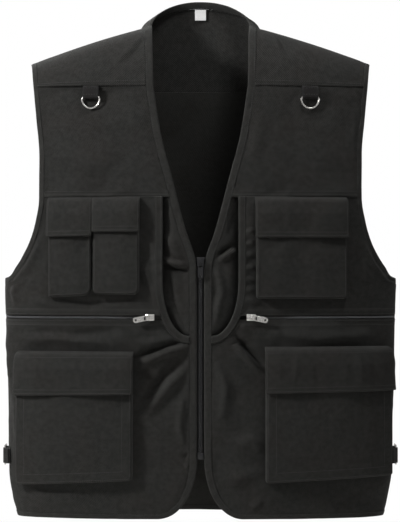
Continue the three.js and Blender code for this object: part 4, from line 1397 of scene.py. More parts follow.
@dataclass
class Front:
    """One front: chest panel, pocket panel with its slot hem, under panel and lower front."""

    name: str
    side: int
    folds: dict[str, tuple[Fold, ...]]
    zip_slit: float = 5.6
    lap: float = 0.7  # how far the chest panel stands over the layers below it
    lap_high: float = 14.0
    gape: float = 8.5  # how far the under panel sinks beside the slot, and how wide
    gape_reach: float = 8.0
    chest_crease: float = 3.2  # the chest seam's crease, then those above and below the slit
    pocket_crease: float = 7.5
    lower_crease: float = 6.0
    chest_rows: tuple[float, float] = (2.2, 7.0)  # stitches above the chest seam
    pocket_rows: tuple[float, float] = (1.6, 8.5)  # stitches above the slit
    lower_rows: tuple[float, float] = (1.6, 7.5)  # stitches below the slit
    tuck: float = 2.0  # how far the under panel ends above the slot's end
    stitches: list[Line] = field(default_factory=list)

    def build(self) -> None:
        """Cut and sew the panels, then their topstitching."""
        gap, slit = FORM.seam_gap, self.zip_slit / 2
        yoke, chest = FORM.down(FORM.yoke_at), FORM.down(FORM.chest_at)
        zip_line = FORM.down(FORM.zip_at)
        seed = 20 if self.side < 0 else 40
        chest_panel = FrontPanel(
            f"chest_panel_{self.name}", self.side, yoke - gap, chest + gap - 1, self.inset,
            FORM.arm_angle, TWILL, self.folds["chest"], seed,
            lift=self.chest_lap, seams=(chest + self.chest_crease,),
        ).build()
        pocket_panel = FrontPanel(
            f"pocket_panel_{self.name}", self.side, chest - gap, zip_line + slit,
            self.slot_side, FORM.arm_angle, TWILL, self.folds["pocket"], seed + 1,
            lift=self.outer_layer, seams=(zip_line + slit + self.pocket_crease,),
        ).build()
        FrontPanel(
            f"under_panel_{self.name}", self.side, chest - gap,
            FORM.down(FORM.slot_end_at) + self.tuck, self.inset, self.under_edge, TWILL,
            self.folds["under"], seed + 2, lift=self.sunken,
        ).build()
        lower = FrontPanel(
            f"lower_front_{self.name}", self.side, zip_line - slit,
            -FORM.length + FORM.hem_band, self.lower_edge, self.side_seam, TWILL,
            self.folds["lower"], seed + 3, seams=(zip_line - slit - self.lower_crease,),
        ).build()
        self.slot_hem(seed + 4)
        self.sew_lines(chest_panel, pocket_panel, lower)

    def inset(self, z: Array) -> Array:
        """Return how far a panel's edge beside the front binding lies from the centre line."""
        return FORM.front_inset(z) + FORM.seam_gap

    def slot_side(self, z: Array) -> Array:
        """Return how far the pocket panel's edge beside the slot hem lies from the centre line."""
        return FORM.slot_edge(z, FORM.slot_band) + FORM.seam_gap

    def side_seam(self, z: Array) -> Array:
        """Return the section angle of the side seam."""
        return np.full(np.shape(z), FORM.side_angle)

    def chest_lap(self, x: Array, z: Array) -> Array:
        """Return the chest panel's lift, which laps over the layers below its seam."""
        chest = FORM.down(FORM.chest_at)
        return self.lap * (1 - smooth(z, chest, chest + self.lap_high))

    def sunken(self, x: Array, z: Array) -> Array:
        """Return the under panel's lift, which falls back behind the slot."""
        return -self.gape * np.exp(-(((FORM.slot_edge(z) - x) / self.gape_reach) ** 2))

    def outer_layer(self, x: Array, z: Array) -> Array:
        """Return the lift of the pocket panel, which gapes beside the slot."""
        return FORM.outer_lift(x) + self.open_lift(x - FORM.slot_edge(z), z)

    def open_lift(self, beside: Array, z: Array) -> Array:
        """Return how far the slot's mouth stands open, beside its edge and at a height."""
        middle = FORM.down(0.5)
        high, wide, reach = 2.6, 52, 26
        return high * np.exp(-(((z - middle) / wide) ** 2)) * np.exp(-((beside / reach) ** 2))

    def under_edge(self, z: Array) -> Array:
        """Return the section angle of the under panel's hidden edge."""
        hidden = np.clip((z - FORM.down(0.573)) / 15, 0, 1)
        reach = mix(FORM.slot_edge(z) - 1.2, 0.3 * FORM.half_chest, hidden)
        return FORM.angle(reach, z)

    def lower_edge(self, z: Array) -> Array:
        """Return how far the lower front's inner edge lies from the centre line.

        Args:
            z: height.

        Returns:
            Distance from the centre line.
        """
        gap = FORM.seam_gap
        upper = np.maximum(FORM.front_inset(z), FORM.slot_edge(z, FORM.slot_band) + gap)
        upper = np.where(z < FORM.down(FORM.slot_end_at) - 12, FORM.front_inset(z), upper)
        below = FORM.corner_edge(z, FORM.band)
        return np.where(z > FORM.down(FORM.corner_at), upper, below) + gap

    def slot_line(self, out: Array, count: int = 110) -> tuple[Array, Array]:
        """Return the slot's edge, or a line beside it, from the chest seam round to the front edge.

        Args:
            out: distances from the edge, one for each line.
            count: number of points along it.

        Returns:
            Distances from the centre line, and heights.
        """
        chest, turn_z = FORM.down(FORM.chest_at) - FORM.seam_gap, FORM.down(FORM.slot_turn_at)
        centre = FORM.placket_half + FORM.band + FORM.seam_gap
        share = np.linspace(0, 1, count)[:, None]
        straight = 0.55
        upper = mix(chest, turn_z, np.minimum(share / straight, 1))
        turn = np.radians(90 * np.clip((share - straight) / (1 - straight), 0, 1))
        fall = turn_z - FORM.down(FORM.slot_end_at)
        z = upper - (fall + out[None, :]) * np.sin(turn)
        x = centre + (FORM.slot_half - centre + out[None, :]) * np.cos(turn)
        return x, z

    def slot_hem(self, seed: int) -> None:
        """Fold the hem along the hand-pocket slot and lay its two rows of stitches.

        Args:
            seed: start of its unevenness.
        """
        band = FORM.slot_band
        out = np.array([0, 0.5, 1.1, 2, 3.2, 4.6, 6, 7.2, 8, band])
        x, z = self.slot_line(out)
        beside = np.broadcast_to(out, z.shape)
        settled = smooth(-z, -FORM.down(0.573), -FORM.down(0.604))
        lift = mix(FORM.layer_lift, 0.9, settled) + self.open_lift(beside, z)
        crown = 0.15 * np.sin(np.pi * np.clip(beside / band, 0, 1)) ** 0.6
        steps = np.hypot(np.diff(x[:, 0]), np.diff(z[:, 0]))
        along = np.broadcast_to(np.concatenate([[0], np.cumsum(steps)])[:, None], z.shape)
        relief = crown + pucker(beside, along, seed, 0.35, 9)
        points = FORM.front(self.side * x, z, lift)
        rubbed = 0.55 * np.exp(-beside / 1.2)
        patch = Patch.of(points, np.stack([self.side * beside, -along], -1), relief, rubbed)
        node, rests_on = f"slot_hem_{self.name}", [f"pocket_panel_{self.name}_cloth"]
        made = sew(f"{node}_cloth", patch, self.side, 2.2, TWILL, [node])
        tree = outside_of(made)
        for offset in (1.6, band - 1.4):
            line_x, line_z = self.slot_line(np.array([offset]), 160)
            near = FORM.front(self.side * line_x[:, 0], line_z[:, 0])
            far = FORM.front(self.side * line_x[:, 0], line_z[:, 0], 1.0)
            self.stitches.append(settle(near, far - near, tree, 0.1))

    def sew_lines(self, chest: FrontPanel, pocket: FrontPanel, lower: FrontPanel) -> None:
        """Lay the front's topstitching.

        Args:
            chest: the chest panel.
            pocket: the pocket panel.
            lower: the lower front.
        """
        zip_line, slit = FORM.down(FORM.zip_at), self.zip_slit / 2
        across, wide = np.linspace(30, 224, 120), np.linspace(66, 300, 150)
        for up in self.chest_rows:
            height = np.full(across.shape, FORM.down(FORM.chest_at) + up)
            self.stitches.append(chest.seam_line(across, height))
        for panel, sign, rows in ((pocket, 1, self.pocket_rows), (lower, -1, self.lower_rows)):
            for off in rows:
                height = np.full(wide.shape, zip_line + sign * slit + sign * off)
                self.stitches.append(panel.girth_line(wide, height))
        dress(TOPSTITCH.along(f"front_stitches_{self.name}", self.stitches))


# Yoke and back


@dataclass
class Yoke:
    """The yoke: both shoulders and the back yoke, one piece over the shoulder line."""

    height: float = 86.0  # from the front seam to the shoulder line, beside the neck
    seam_reach: float = 93.8  # how far the back seam's part below the neck reaches to each side
    rows: tuple[float, float] = (2.0, 7.5)  # stitches above the seams
    half_back: float = 228.0
    wall: float = 1.6
    lap: float = 1.3  # how far the yoke stands over the panels at its seams
    folds: tuple[Fold, ...] = (
        Fold(((-76, 52), (-92, 36), (-112, 24)), 4.5, 1.9, FoldKind.STEP),
        Fold(((-70, 30), (-84, 14)), 5, 0.9),
        Fold(((101, 62), (110, 44), (116, 34)), 4.5, 1.4, FoldKind.STEP),
        Fold(((84, 60), (90, 40)), 4, 0.9),
        Fold(((130, 56), (150, 40)), 8, 0.8),
    )

    def neck_half(self, turn: Array) -> Array:
        """Return the yoke's distance from the centre line beside the neck binding."""
        start = FORM.front_inset(np.array(FORM.down(FORM.yoke_at)))
        return mix(start, FORM.neck_half + FORM.band, turn / 90) + FORM.seam_gap

    def arm_half(self, turn: Array) -> Array:
        """Return the yoke's distance from the centre line beside the armhole binding."""
        seam = abs(FORM.arm_line(-1, np.array([0.0]))[1][0, 0])
        return mix(seam, FORM.shoulder_half - FORM.arm_band, turn / 90) - FORM.seam_gap

    def build(self) -> None:
        """Cut the yoke as one sheet and topstitch its seams."""
        share = graded(160, 3.2) / 160
        turn = 90 * graded(90, 3.0, True, False) / 90
        patches = []
        for side in (-1, 1):
            rows = turn[::-1]
            x = mix(self.neck_half(rows)[:, None], self.arm_half(rows)[:, None], share[None, :])
            grid = np.broadcast_to(rows[:, None], x.shape)
            points = FORM.yoke_front(side * x, grid)
            fall = self.height * (1 - grid / 90)
            relief = self.relief(side * x, self.height - fall, x, grid)
            patch = Patch.of(points, np.stack([side * x, -fall], -1), relief)
            patches.append(patch if side > 0 else patch.across())
        patches.append(self.back(share, turn))
        made = cloth_sheet("yoke_cloth", patches, self.wall, TWILL)
        dress(made, ["yoke"])
        declare_sheet(made)
        self.sew_lines(outside_of(made))

    def back(self, share: Array, turn: Array) -> Patch:
        """Return the back yoke, from the neck and the shoulder line down to its seam.

        Args:
            share: places across each shoulder, from the neck to the armhole.
            turn: degrees of its rows, from the seam to the top.

        Returns:
            Its grid.
        """
        arm_seam = float(self.arm_half(np.array(0.0)))
        neck_turns = np.linspace(90, 0, 30)
        clear = FORM.seam_gap * (1 + 2 * np.sin(np.radians(neck_turns)))
        half_top = FORM.back_neck(neck_turns, FORM.band + clear)
        half_seam = self.seam_reach * np.cos(np.radians(neck_turns))
        x = mix(float(self.neck_half(np.array(90.0))), float(self.arm_half(np.array(90.0))), share)
        shoulder = FORM.yoke_front(x, np.full(x.shape, 90.0))
        half_top[-1] = shoulder[0]
        top = np.concatenate([half_top, shoulder[1:]])
        seam_x = np.concatenate([half_seam, mix(self.seam_reach, arm_seam, share[1:])])
        top = np.concatenate([top[:0:-1], top * MIRROR])
        seam_x = np.concatenate([seam_x[:0:-1], -seam_x])
        rows = turn[::-1]
        seam = FORM.back_seam(seam_x)
        grid = np.broadcast_to((90 - rows)[:, None], (len(rows), len(seam_x)))
        points = FORM.yoke_back(
            np.broadcast_to(top, (*grid.shape, 3)), np.broadcast_to(seam, (*grid.shape, 3)), grid
        )
        s = np.broadcast_to(seam_x, grid.shape)
        relief = Unevenness(7, (60.0, 22.0), (0.6, 0.2)).relief(s, grid)
        relief = relief * smooth(grid, 0, 25) * smooth(90 - grid, -4, 12)
        relief = relief + self.lap * smooth(grid, 66, 80)
        return Patch.of(points, np.stack([-s, -grid * 1.3], -1), relief)

    def relief(self, x: Array, height: Array, from_centre: Array, turn: Array) -> Array:
        """Return the front yoke's relief, flat at the shoulder line and at its edges.

        Args:
            x: distance from the centre line, with its sign.
            height: height above the seam.
            from_centre: distance from the centre line.
            turn: degrees from the seam to the shoulder line.

        Returns:
            Height above the form.
        """
        total = Unevenness(5, (60.0, 24.0, 9.0), (0.6, 0.25, 0.08)).relief(x, height)
        for fold in self.folds:
            total = total + fold.relief(x, height)
        total = total + pucker(height, x, 9, 0.25, 7)
        edge = np.minimum(from_centre - self.neck_half(turn), self.arm_half(turn) - from_centre)
        total = total * smooth(edge, -2, 8) * smooth(90 - turn, 0, 18)
        return total + self.lap * (1 - smooth(height, 2, 12))

    def sew_lines(self, tree: BVHTree) -> None:
        """Lay the yoke's topstitching along its front and back seams.

        Args:
            tree: search tree of the yoke.
        """
        lines = []
        for side in (-1, 1):
            for up in self.rows:
                turn = math.degrees(math.asin(up / self.height))
                inner, outer = self.neck_half(np.array(turn)), self.arm_half(np.array(turn))
                x = side * np.linspace(float(inner), float(outer), 90)
                near = FORM.yoke_front(x, np.full(90, turn))
                out = np.broadcast_to(np.array([0, -1.0, 0.15]), near.shape)
                lines.append(settle(near, out, tree, STITCH_LIFT))
        x = np.linspace(-self.half_back, self.half_back, 240)
        z = np.full(240, -self.height)
        out = FORM.body(1, FORM.angle(x, z), z, 1.0) - FORM.body(1, FORM.angle(x, z), z)
        for up in self.rows:
            near = FORM.back_seam(x) + np.array([0, 0, up])
            lines.append(settle(near, out, tree, STITCH_LIFT))
        dress(TOPSTITCH.along("yoke_stitches", lines))


@dataclass
class Back:
    """The back panel, one sheet from the yoke's seam to its hem."""

    grid: float = 4.0  # spacing of its points
    half_width: float = 300.0  # only sets how many points it has across
    depth: float = 1.5  # how deep its folds stand, for the heights that are listed
    folds: tuple[Fold, ...] = (
        Fold(((0, -110), (4, -260), (0, -420)), 26, -2.2),
        Fold(((-120, -130), (-90, -300), (-110, -520)), 22, 2.0),
        Fold(((130, -130), (100, -280), (120, -500)), 24, 1.8),
        Fold(((-240, -588), (-160, -596), (-90, -590)), 9, 2.2),
        Fold(((240, -588), (170, -594), (100, -588)), 9, 2.0),
        Fold(((-60, -420), (-40, -560), (-64, -650)), 20, 1.8),
        Fold(((70, -400), (52, -540), (66, -650)), 20, 1.8),
        Fold(((-210, -380), (-150, -450)), 14, 1.6, FoldKind.STEP),
        Fold(((210, -380), (150, -440)), 14, 1.6, FoldKind.STEP),
    )

    def build(self) -> None:
        """Cut the back and sew it in."""
        top = FORM.arm_line(1, np.array([0.0]))[3][0]
        bottom = -FORM.length + FORM.hem_band
        z = top - graded(top - bottom, self.grid)
        reach = FORM.girth(FORM.arm_angle(z) - 0.2)
        share = graded(2 * self.half_width, self.grid) / self.half_width - 1
        s = reach[:, None] * share[None, ::-1]
        height = np.broadcast_to(z[:, None], s.shape)
        relief = Unevenness(60, (90.0, 34.0), (0.9, 0.35)).relief(s, height)
        for fold in self.folds:
            relief = relief + self.depth * fold.relief(s, height)
        edge = np.minimum(reach[:, None] - np.abs(s), np.minimum(top - height, height - bottom))
        relief = relief * smooth(edge, -2, 14)
        points = FORM.body(1, FORM.angle_of_girth(s), height)
        patch = Patch.of(points, np.stack([-s, height], -1), relief)
        # The back panel takes the twill painted a shade lighter: painted fill light for its shaded
        # inside.
        sew("back_panel_cloth", patch, 1, 1.6, TWILL_PAINTED_FILL, ["back_panel"])


# Bindings


@dataclass
class Binding:
    """A folded tape over a raw edge, swept along pairs of edge and inset points."""

    name: str
    nodes: tuple[str, ...]
    edge: Array
    inset: Array
    closed: bool
    seed: int
    half_wall: float = 1.05
    stitch_at: float = 0.83  # the topstitching's place, as a share of the width

    def build(self) -> Line:
        """Sweep the tape.

        Returns:
            The line of its topstitching.
        """
        across = self.inset - self.edge
        width = np.linalg.norm(across, axis=1, keepdims=True)
        across = across / width
        middle = (self.edge + self.inset) / 2
        ahead = self.tangent(middle)
        outer = unit(np.cross(ahead, across))
        along = travelled(middle)
        profile = [
            (1.0, 1.0), (0.93, 1.04), (0.86, 0.93), (0.8, 0.93), (0.72, 1.04), (0.5, 1.1),
            (0.28, 1.08), (0.12, 0.95), (0.02, 0.55), (-0.02, 0.0), (0.02, -0.55), (0.12, -0.95),
            (0.5, -1.1), (0.86, -0.95), (1.0, -1.0), (1.0, 0.0),
        ]
        ripple = pucker(np.zeros(len(along)), along, self.seed, 0.16, 1)
        level = np.zeros(len(along))
        slow = Unevenness(self.seed + 1, (40.0, 14.0), (0.5, 0.2)).relief(along, level)
        rings, cloth, rubbed = [], [], []
        for share, rise in profile:
            swell = (ripple * 3 if 0.6 < share < 0.98 and rise > 0 else ripple)[:, None]
            sway = (slow * (1 - share) * 0.7)[:, None]
            up = self.half_wall * rise + swell * np.sign(rise)
            rings.append(self.edge + across * (width * share + sway * 0.4) + outer * up)
            over = share * width[:, 0] * np.sign(rise + 0.01)
            cloth.append(np.stack([along, over], -1))
            rubbed.append(np.full(len(along), 0.35 if share < 0.05 else 0.08))
        points = np.stack(rings, 1).reshape(-1, 3)
        faces = tube_faces(len(self.edge), len(profile), self.closed)
        made = new_object(self.name, points, faces, BIAS)
        face_outwards(made)
        mark_cloth(made, np.stack(cloth, 1).reshape(-1, 2), np.stack(rubbed, 1).ravel())
        dress(made, self.nodes)
        declare_sheet(made)
        line = self.edge + across * width * self.stitch_at + outer * (self.half_wall * 0.95)
        return line, outer

    def tangent(self, middle: Array) -> Array:
        """Return the direction of travel at each point."""
        if self.closed:
            return unit(np.roll(middle, -1, axis=0) - np.roll(middle, 1, axis=0))
        return unit(np.gradient(middle, axis=0))


@dataclass
class Bindings:
    """All the bound edges: fronts with neck, back hem and both armholes."""

    step: float = 3.0  # spacing of the points along an edge
    lines: list[Line] = field(default_factory=list)

    def build(self) -> None:
        """Bind every edge and topstitch the bindings."""
        edge, inset = self.front_run()
        runs = ("front_hem_binding", "front_edge_binding", "v_neck_binding")
        nodes = [f"{run}_{name}" for run in runs for name, _ in SIDES]
        self.bind("edge_binding", (*nodes, "back_neck_binding"), edge, inset, False, 70)
        nodes = [f"back_hem_binding_{part}" for part in ("left", "middle", "right")]
        self.bind("back_hem_binding", tuple(nodes), *self.back_hem(), False, 72)
        for name, side in SIDES:
            binding = f"armhole_binding_{name}"
            self.bind(binding, (binding,), *self.armhole(side), True, 74 + side)
        dress(TOPSTITCH.along("binding_stitches", self.lines))

    def bind(
        self,
        name: str,
        nodes: tuple[str, ...],
        edge: Array,
        inset: Array,
        closed: bool,
        seed: int,
    ) -> None:
        """Sweep one binding after spacing its points evenly.

        Args:
            name: start of the piece's name.
            nodes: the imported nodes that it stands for.
            edge: points of the free edge.
            inset: points of the inner line.
            closed: whether it joins itself.
            seed: start of its unevenness.
        """
        reached = travelled((edge + inset) / 2)
        keep = np.concatenate([[True], np.diff(reached) > 1e-6])
        reached, edge, inset = reached[keep], edge[keep], inset[keep]
        even = np.linspace(0, reached[-1], max(int(reached[-1] / self.step), 8) + 1)
        if closed:
            even = even[:-1]
        edge, inset = (spaced(line, reached, even) for line in (edge, inset))
        self.lines.append(Binding(f"{name}_tape", nodes, edge, inset, closed, seed).build())

    def front_run(self) -> tuple[Array, Array]:
        """Return the run from the left side seam, round the neck, to the right side seam."""
        form = FORM
        start = float(form.girth(np.array(form.side_angle)))
        end = girth_at(form.corner_half, -form.length)
        hem = form.angle_of_girth(np.linspace(start, end, 90))
        edge = [form.body(-1, hem, np.full(90, -form.length))]
        inset = [form.body(-1, hem, np.full(90, -form.length + form.hem_band))]
        turn = np.linspace(90, 0, 50)[1:]
        for lines, inwards in ((edge, 0.0), (inset, form.band)):
            reach = form.corner_half - form.placket_half - inwards
            fall = form.length + form.down(form.corner_at) - (form.hem_band if inwards else 0)
            z = form.down(form.corner_at) - fall * np.sin(np.radians(turn))
            lines.append(form.front(form.corner_half - reach * np.cos(np.radians(turn)), z))
        z = np.linspace(form.down(form.corner_at), form.down(form.yoke_at), 240)[1:]
        edge.append(form.front(form.front_edge(z), z))
        inset.append(form.front(form.front_inset(z), z))
        seam = np.array(form.down(form.yoke_at))
        turn = np.linspace(0, 90, 40)[1:]
        over = mix(form.front_edge(seam), form.neck_half, turn / 90)
        edge.append(form.yoke_front(over, turn))
        over = mix(form.front_inset(seam), form.neck_half + form.band, turn / 90)
        inset.append(form.yoke_front(over, turn))
        edge.append(form.back_neck(turn, 0.0))
        inset.append(form.back_neck(turn, form.band))
        edge, inset = np.concatenate(edge), np.concatenate(inset)
        return tuple(np.concatenate([line * MIRROR, line[-2::-1]]) for line in (edge, inset))

    def back_hem(self) -> tuple[Array, Array]:
        """Return the back hem's edge and inset lines."""
        reach = float(FORM.girth(np.array(FORM.side_angle)))
        angle = FORM.angle_of_girth(np.linspace(reach, -reach, 180))
        low = np.full(180, -FORM.length)
        return FORM.body(1, angle, low), FORM.body(1, angle, low + FORM.hem_band - FORM.seam_gap)

    def armhole(self, side: int) -> tuple[Array, Array]:
        """Return an armhole's edge and inset lines, from the underarm up the front and round.

        Args:
            side: -1 for the left, 1 for the right.

        Returns:
            Edge points and inset points.
        """
        edge_f, inset_f, _, _ = FORM.arm_line(-1, np.linspace(9, 0, 170))
        edge_b, inset_b, _, _ = FORM.arm_line(1, np.linspace(0, 9, 170))
        turn = np.linspace(0, 90, 34)
        tips = []
        for seam_x, tip_x in (
            (edge_f[-1, 0], FORM.shoulder_half),
            (inset_f[-1, 0], FORM.shoulder_half - FORM.arm_band),
        ):
            over = FORM.yoke_front(mix(seam_x, tip_x, turn / 90), turn)[1:]
            top = FORM.yoke_front(np.array(tip_x), np.array(90.0))
            seam = FORM.back_seam(np.array(seam_x))
            shape = (len(turn) - 1, 3)
            behind = FORM.yoke_back(np.broadcast_to(top, shape), np.broadcast_to(seam, shape), turn[1:])
            tips.append(np.concatenate([over, behind[:-1]]))
        edge = np.concatenate([edge_f, tips[0], edge_b])
        inset = np.concatenate([inset_f, tips[1], inset_b])
        mirror = np.array([side, 1, 1])
        return edge * mirror, inset * mirror


# Patch pockets


@dataclass
class PatchPocket:
    """A flat-bottomed patch pocket that stands out on a gusset, with its flap.

    Attributes:
        name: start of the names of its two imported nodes.
        side: -1 for the left, 1 for the right.
        inner: inner edge as a share of half the chest.
        outer: outer edge as a share of half the chest.
        top: top of the flap as a share of the body length.
        flap: bottom of the flap.
        bottom: bottom of the pouch.
        bulge: how far it stands out.
        rise: how much higher its bottom lies at its right end than at its left.
        corners: radii of its lower corners, the inner one first.
        folds: folds of the pouch, from its inner top corner.
        ripples: folds of the flap, from its inner top corner.
        double_top: whether its flap is sewn on with two rows.
        seed: start of its unevenness.
        edge: how far its edge stands off the panel.
        mouth: the pouch's top below the flap's, as a share of the body length.
        gusset: radius of the turn from its side to its face.
        row_gap: distance between its two rows of stitches, or 0 for one row.
        flap_clear: how far the flap's lower edge stands off the pouch.
        overhang: how far the flap reaches past the pouch on each side.
        stitches: its lines of topstitching.
    """

    name: str
    side: int
    inner: float
    outer: float
    top: float
    flap: float
    bottom: float
    bulge: float
    rise: float
    corners: tuple[float, float]
    seed: int
    folds: tuple[Fold, ...] = ()
    ripples: tuple[Fold, ...] = ()
    double_top: bool = False
    edge: float = 2.0
    mouth: float = 0.018
    gusset: float = 1.8
    row_gap: float = 0.0
    flap_clear: float = 3.2
    overhang: float = 1.0
    pouch_row: float = 2.6  # how far its rows lie inside the edge: pouch, flap, flap's second
    flap_row: float = 1.6
    flap_second: float = 6.5
    top_rows: tuple[float, float] = (2.0, 7.0)  # rows below the flap's top
    stitches: list[Line] = field(default_factory=list)

    def width(self) -> float:
        """Return the pocket's width along the cloth."""
        z = FORM.down((self.top + self.bottom) / 2)
        return girth_at(self.outer * FORM.half_chest, z) - girth_at(self.inner * FORM.half_chest, z)

    def place(self, across: Array, z: Array, lift: Array) -> Array:
        """Return points over the pocket.

        Args:
            across: distance along the cloth from the inner edge.
            z: height at the pocket's middle.
            lift: distance above the panel.

        Returns:
            The points.
        """
        share = across / self.width()
        start = FORM.girth(FORM.angle(np.full(np.shape(z), self.inner * FORM.half_chest), z))
        end = FORM.girth(FORM.angle(np.full(np.shape(z), self.outer * FORM.half_chest), z))
        angle = FORM.angle_of_girth(mix(start, end, share))
        high, low = FORM.down(self.top), FORM.down(self.bottom)
        slant = self.rise * self.side * (share - 0.5) * np.clip((high - z) / (high - low), 0, 1)
        x = np.abs(FORM.body(-1, angle, z)[..., 0])
        layer = np.where(z > FORM.down(FORM.zip_at), FORM.outer_lift(x), 0)
        return FORM.body(-1, self.side * angle, z + slant, layer + lift)

    def build(self) -> None:
        """Sew the pouch and the flap, with their topstitching."""
        self.pouch()
        self.cover()
        dress(TOPSTITCH.along(f"{self.name}_stitches", self.stitches))

    def rounded(self, across: Array, fall: Array, height: float) -> tuple[Array, Array, Array]:
        """Draw the lower corners in.

        Args:
            across: distance from the inner edge.
            fall: distance down from the mouth.
            height: height of the pouch.

        Returns:
            Both distances moved into the rounded outline, and the distance to its edge.
        """
        width = self.width()
        r = np.where(across < width / 2, *self.corners)
        near = np.minimum(across, width - across)
        low = height - fall
        a, b = np.clip(1 - near / r, 0, 1), np.clip(1 - low / r, 0, 1)
        a_in, b_in = a * np.sqrt(1 - b * b / 2), b * np.sqrt(1 - a * a / 2)
        side = np.where(across < width / 2, -1, 1)
        across = across + side * (a_in - a) * r
        fall = fall + (b_in - b) * r
        inside = (a > 0) & (b > 0)
        edge = np.where(inside, r * (1 - np.maximum(a, b)), np.minimum(near, low))
        return across, fall, np.maximum(edge, 0)

    def pouch(self) -> None:
        """Sew the pouch: a crisp gusset, a crowned face and its own folds."""
        width = self.width()
        mouth = FORM.down(self.top + self.mouth)
        height = mouth - FORM.down(self.bottom)
        u, v = np.meshgrid(graded(width, 2.4), graded(height, 2.4, False, True))
        across, fall, edge = self.rounded(u, v, height)
        stand = np.sqrt(1 - (1 - np.clip(edge / self.gusset, 0, 1)) ** 2)
        crown = 0.82 + 0.18 * smooth(edge, self.gusset, min(width, height) * 0.42)
        open_share = 0.72 + 0.28 * smooth(fall / height, 0, 0.55)
        lift = self.edge + self.bulge * stand * crown * open_share
        relief = Unevenness(self.seed, (48.0, 20.0, 8.0), (0.75, 0.35, 0.12)).relief(across, -fall)
        for fold in self.folds:
            relief = relief + fold.relief(across, -fall)
        relief = relief + pucker(edge - self.gusset, across - fall, self.seed + 2, 0.3, 8)
        relief = relief - 0.12 * np.exp(-(((edge - self.pouch_row) / 0.9) ** 2))
        relief = relief * smooth(edge, 0, 6)
        rubbed = 0.12 * np.exp(-(((edge - self.gusset * 0.6) / 0.8) ** 2))
        points = self.place(across, mouth - fall, lift)
        patch = Patch.of(points, np.stack([self.side * u, -v], -1), relief, rubbed)
        node = f"{self.name}_pouch"
        tree = outside_of(sew(f"{node}_cloth", patch, self.side, 1.6, TWILL, [node]))
        for inside in sorted({self.pouch_row, self.pouch_row + self.row_gap}):
            self.stitches.append(self.sewn(tree, self.outline(inside, height), mouth))

    def outline(self, inside: float, height: float) -> tuple[Array, Array]:
        """Return a line round the pouch's sides and bottom at a distance inside its edge.

        Args:
            inside: distance inside the edge.
            height: height of the piece.

        Returns:
            Distances across from the inner edge, and down from the top.
        """
        width = self.width()
        r, q = (max(corner - inside, 0.5) for corner in self.corners)
        turn = np.radians(np.linspace(0, 90, 14))
        across = np.concatenate(
            [
                np.full(50, inside),
                inside + r - r * np.cos(turn),
                np.linspace(inside + r, width - inside - q, 60)[1:-1],
                width - inside - q + q * np.sin(turn),
                np.full(50, width - inside),
            ]
        )
        fall = np.concatenate(
            [
                np.linspace(4, height - inside - r, 50),
                height - inside - r + r * np.sin(turn),
                np.full(58, height - inside),
                height - inside - q + q * np.cos(turn),
                np.linspace(height - inside - q, 4, 50),
            ]
        )
        return across, fall

    def sewn(self, tree: BVHTree, line: tuple[Array, Array], top: float) -> Line:
        """Lay a line, given by distances across and down, on the pouch or the flap.

        Args:
            tree: search tree of the piece.
            line: distances across and down.
            top: height of the piece's top.

        Returns:
            The line with its outward directions.
        """
        across, fall = line
        z, lift = top - fall, self.bulge * 0.6
        near = self.place(across, z, np.full(np.shape(z), lift))
        out = self.place(across, z, np.full(np.shape(z), lift + 1)) - near
        return settle(near, out, tree, STITCH_LIFT)

    def cover(self) -> None:
        """Sew the flap: a double layer, stitched round and standing off the pouch."""
        width = self.width()
        top, bottom = FORM.down(self.top), FORM.down(self.flap)
        height = top - bottom
        u, v = np.meshgrid(graded(width + 2 * self.overhang, 2.4), graded(height, 2.2))
        across, fall = u - self.overhang, v
        hinge, full = 0.45 * self.mouth * FORM.length, self.bulge + 0.8 * self.flap_clear
        falls = [0, hinge * 0.5, hinge, 0.4 * height, 0.75 * height, height]
        lifts = [0, 0.55 * self.bulge, 0.86 * self.bulge, full, full, self.bulge + self.flap_clear]
        rise = np.interp(fall, falls, lifts)
        near = np.minimum(u, width + 2 * self.overhang - u)
        sides = 1 - 0.16 * np.exp(-near / 5.0)
        relief = Unevenness(self.seed + 9, (42.0, 16.0, 7.0), (0.5, 0.25, 0.1)).relief(across, -fall)
        for fold in self.ripples:
            relief = relief + fold.relief(across, -fall)
        edge = np.minimum(near, height - fall)
        relief = relief + pucker(edge, across - fall, self.seed + 12, 0.22, 9)
        relief = relief - 0.14 * np.exp(-(((height - fall - self.flap_second) / 0.9) ** 2))
        relief = relief * smooth(fall, 0, 6)
        rubbed = 0.2 * np.exp(-edge)
        points = self.place(across, top - fall, self.edge + rise * sides)
        patch = Patch.of(points, np.stack([self.side * u, -v], -1), relief, rubbed)
        node = f"{self.name}_flap"
        tree = outside_of(sew(f"{node}_cloth", patch, self.side, 2.2, TWILL, [node]))
        self.stitches.append(self.sewn(tree, self.flap_outline(self.flap_row, height), top))
        line = np.linspace(1, width - 1, 90)
        rows = (height - self.flap_second, *(self.top_rows if self.double_top else ()))
        for row in rows:
            self.stitches.append(self.sewn(tree, (line, np.full(90, row)), top))

    def flap_outline(self, inside: float, height: float) -> tuple[Array, Array]:
        """Return a line round the flap's sides and bottom at a distance inside its edge.

        Args:
            inside: distance inside the edge.
            height: height of the piece.

        Returns:
            Distances across from the inner edge, and down from the top.
        """
        width = self.width()
        sides = np.linspace(5, height - inside, 30)
        across = np.concatenate(
            [
                np.full(30, inside - self.overhang),
                np.linspace(inside - self.overhang, width + self.overhang - inside, 80)[1:-1],
                np.full(30, width + self.overhang - inside),
            ]
        )
        fall = np.concatenate([sides, np.full(78, height - inside), sides[::-1]])
        return across, fall


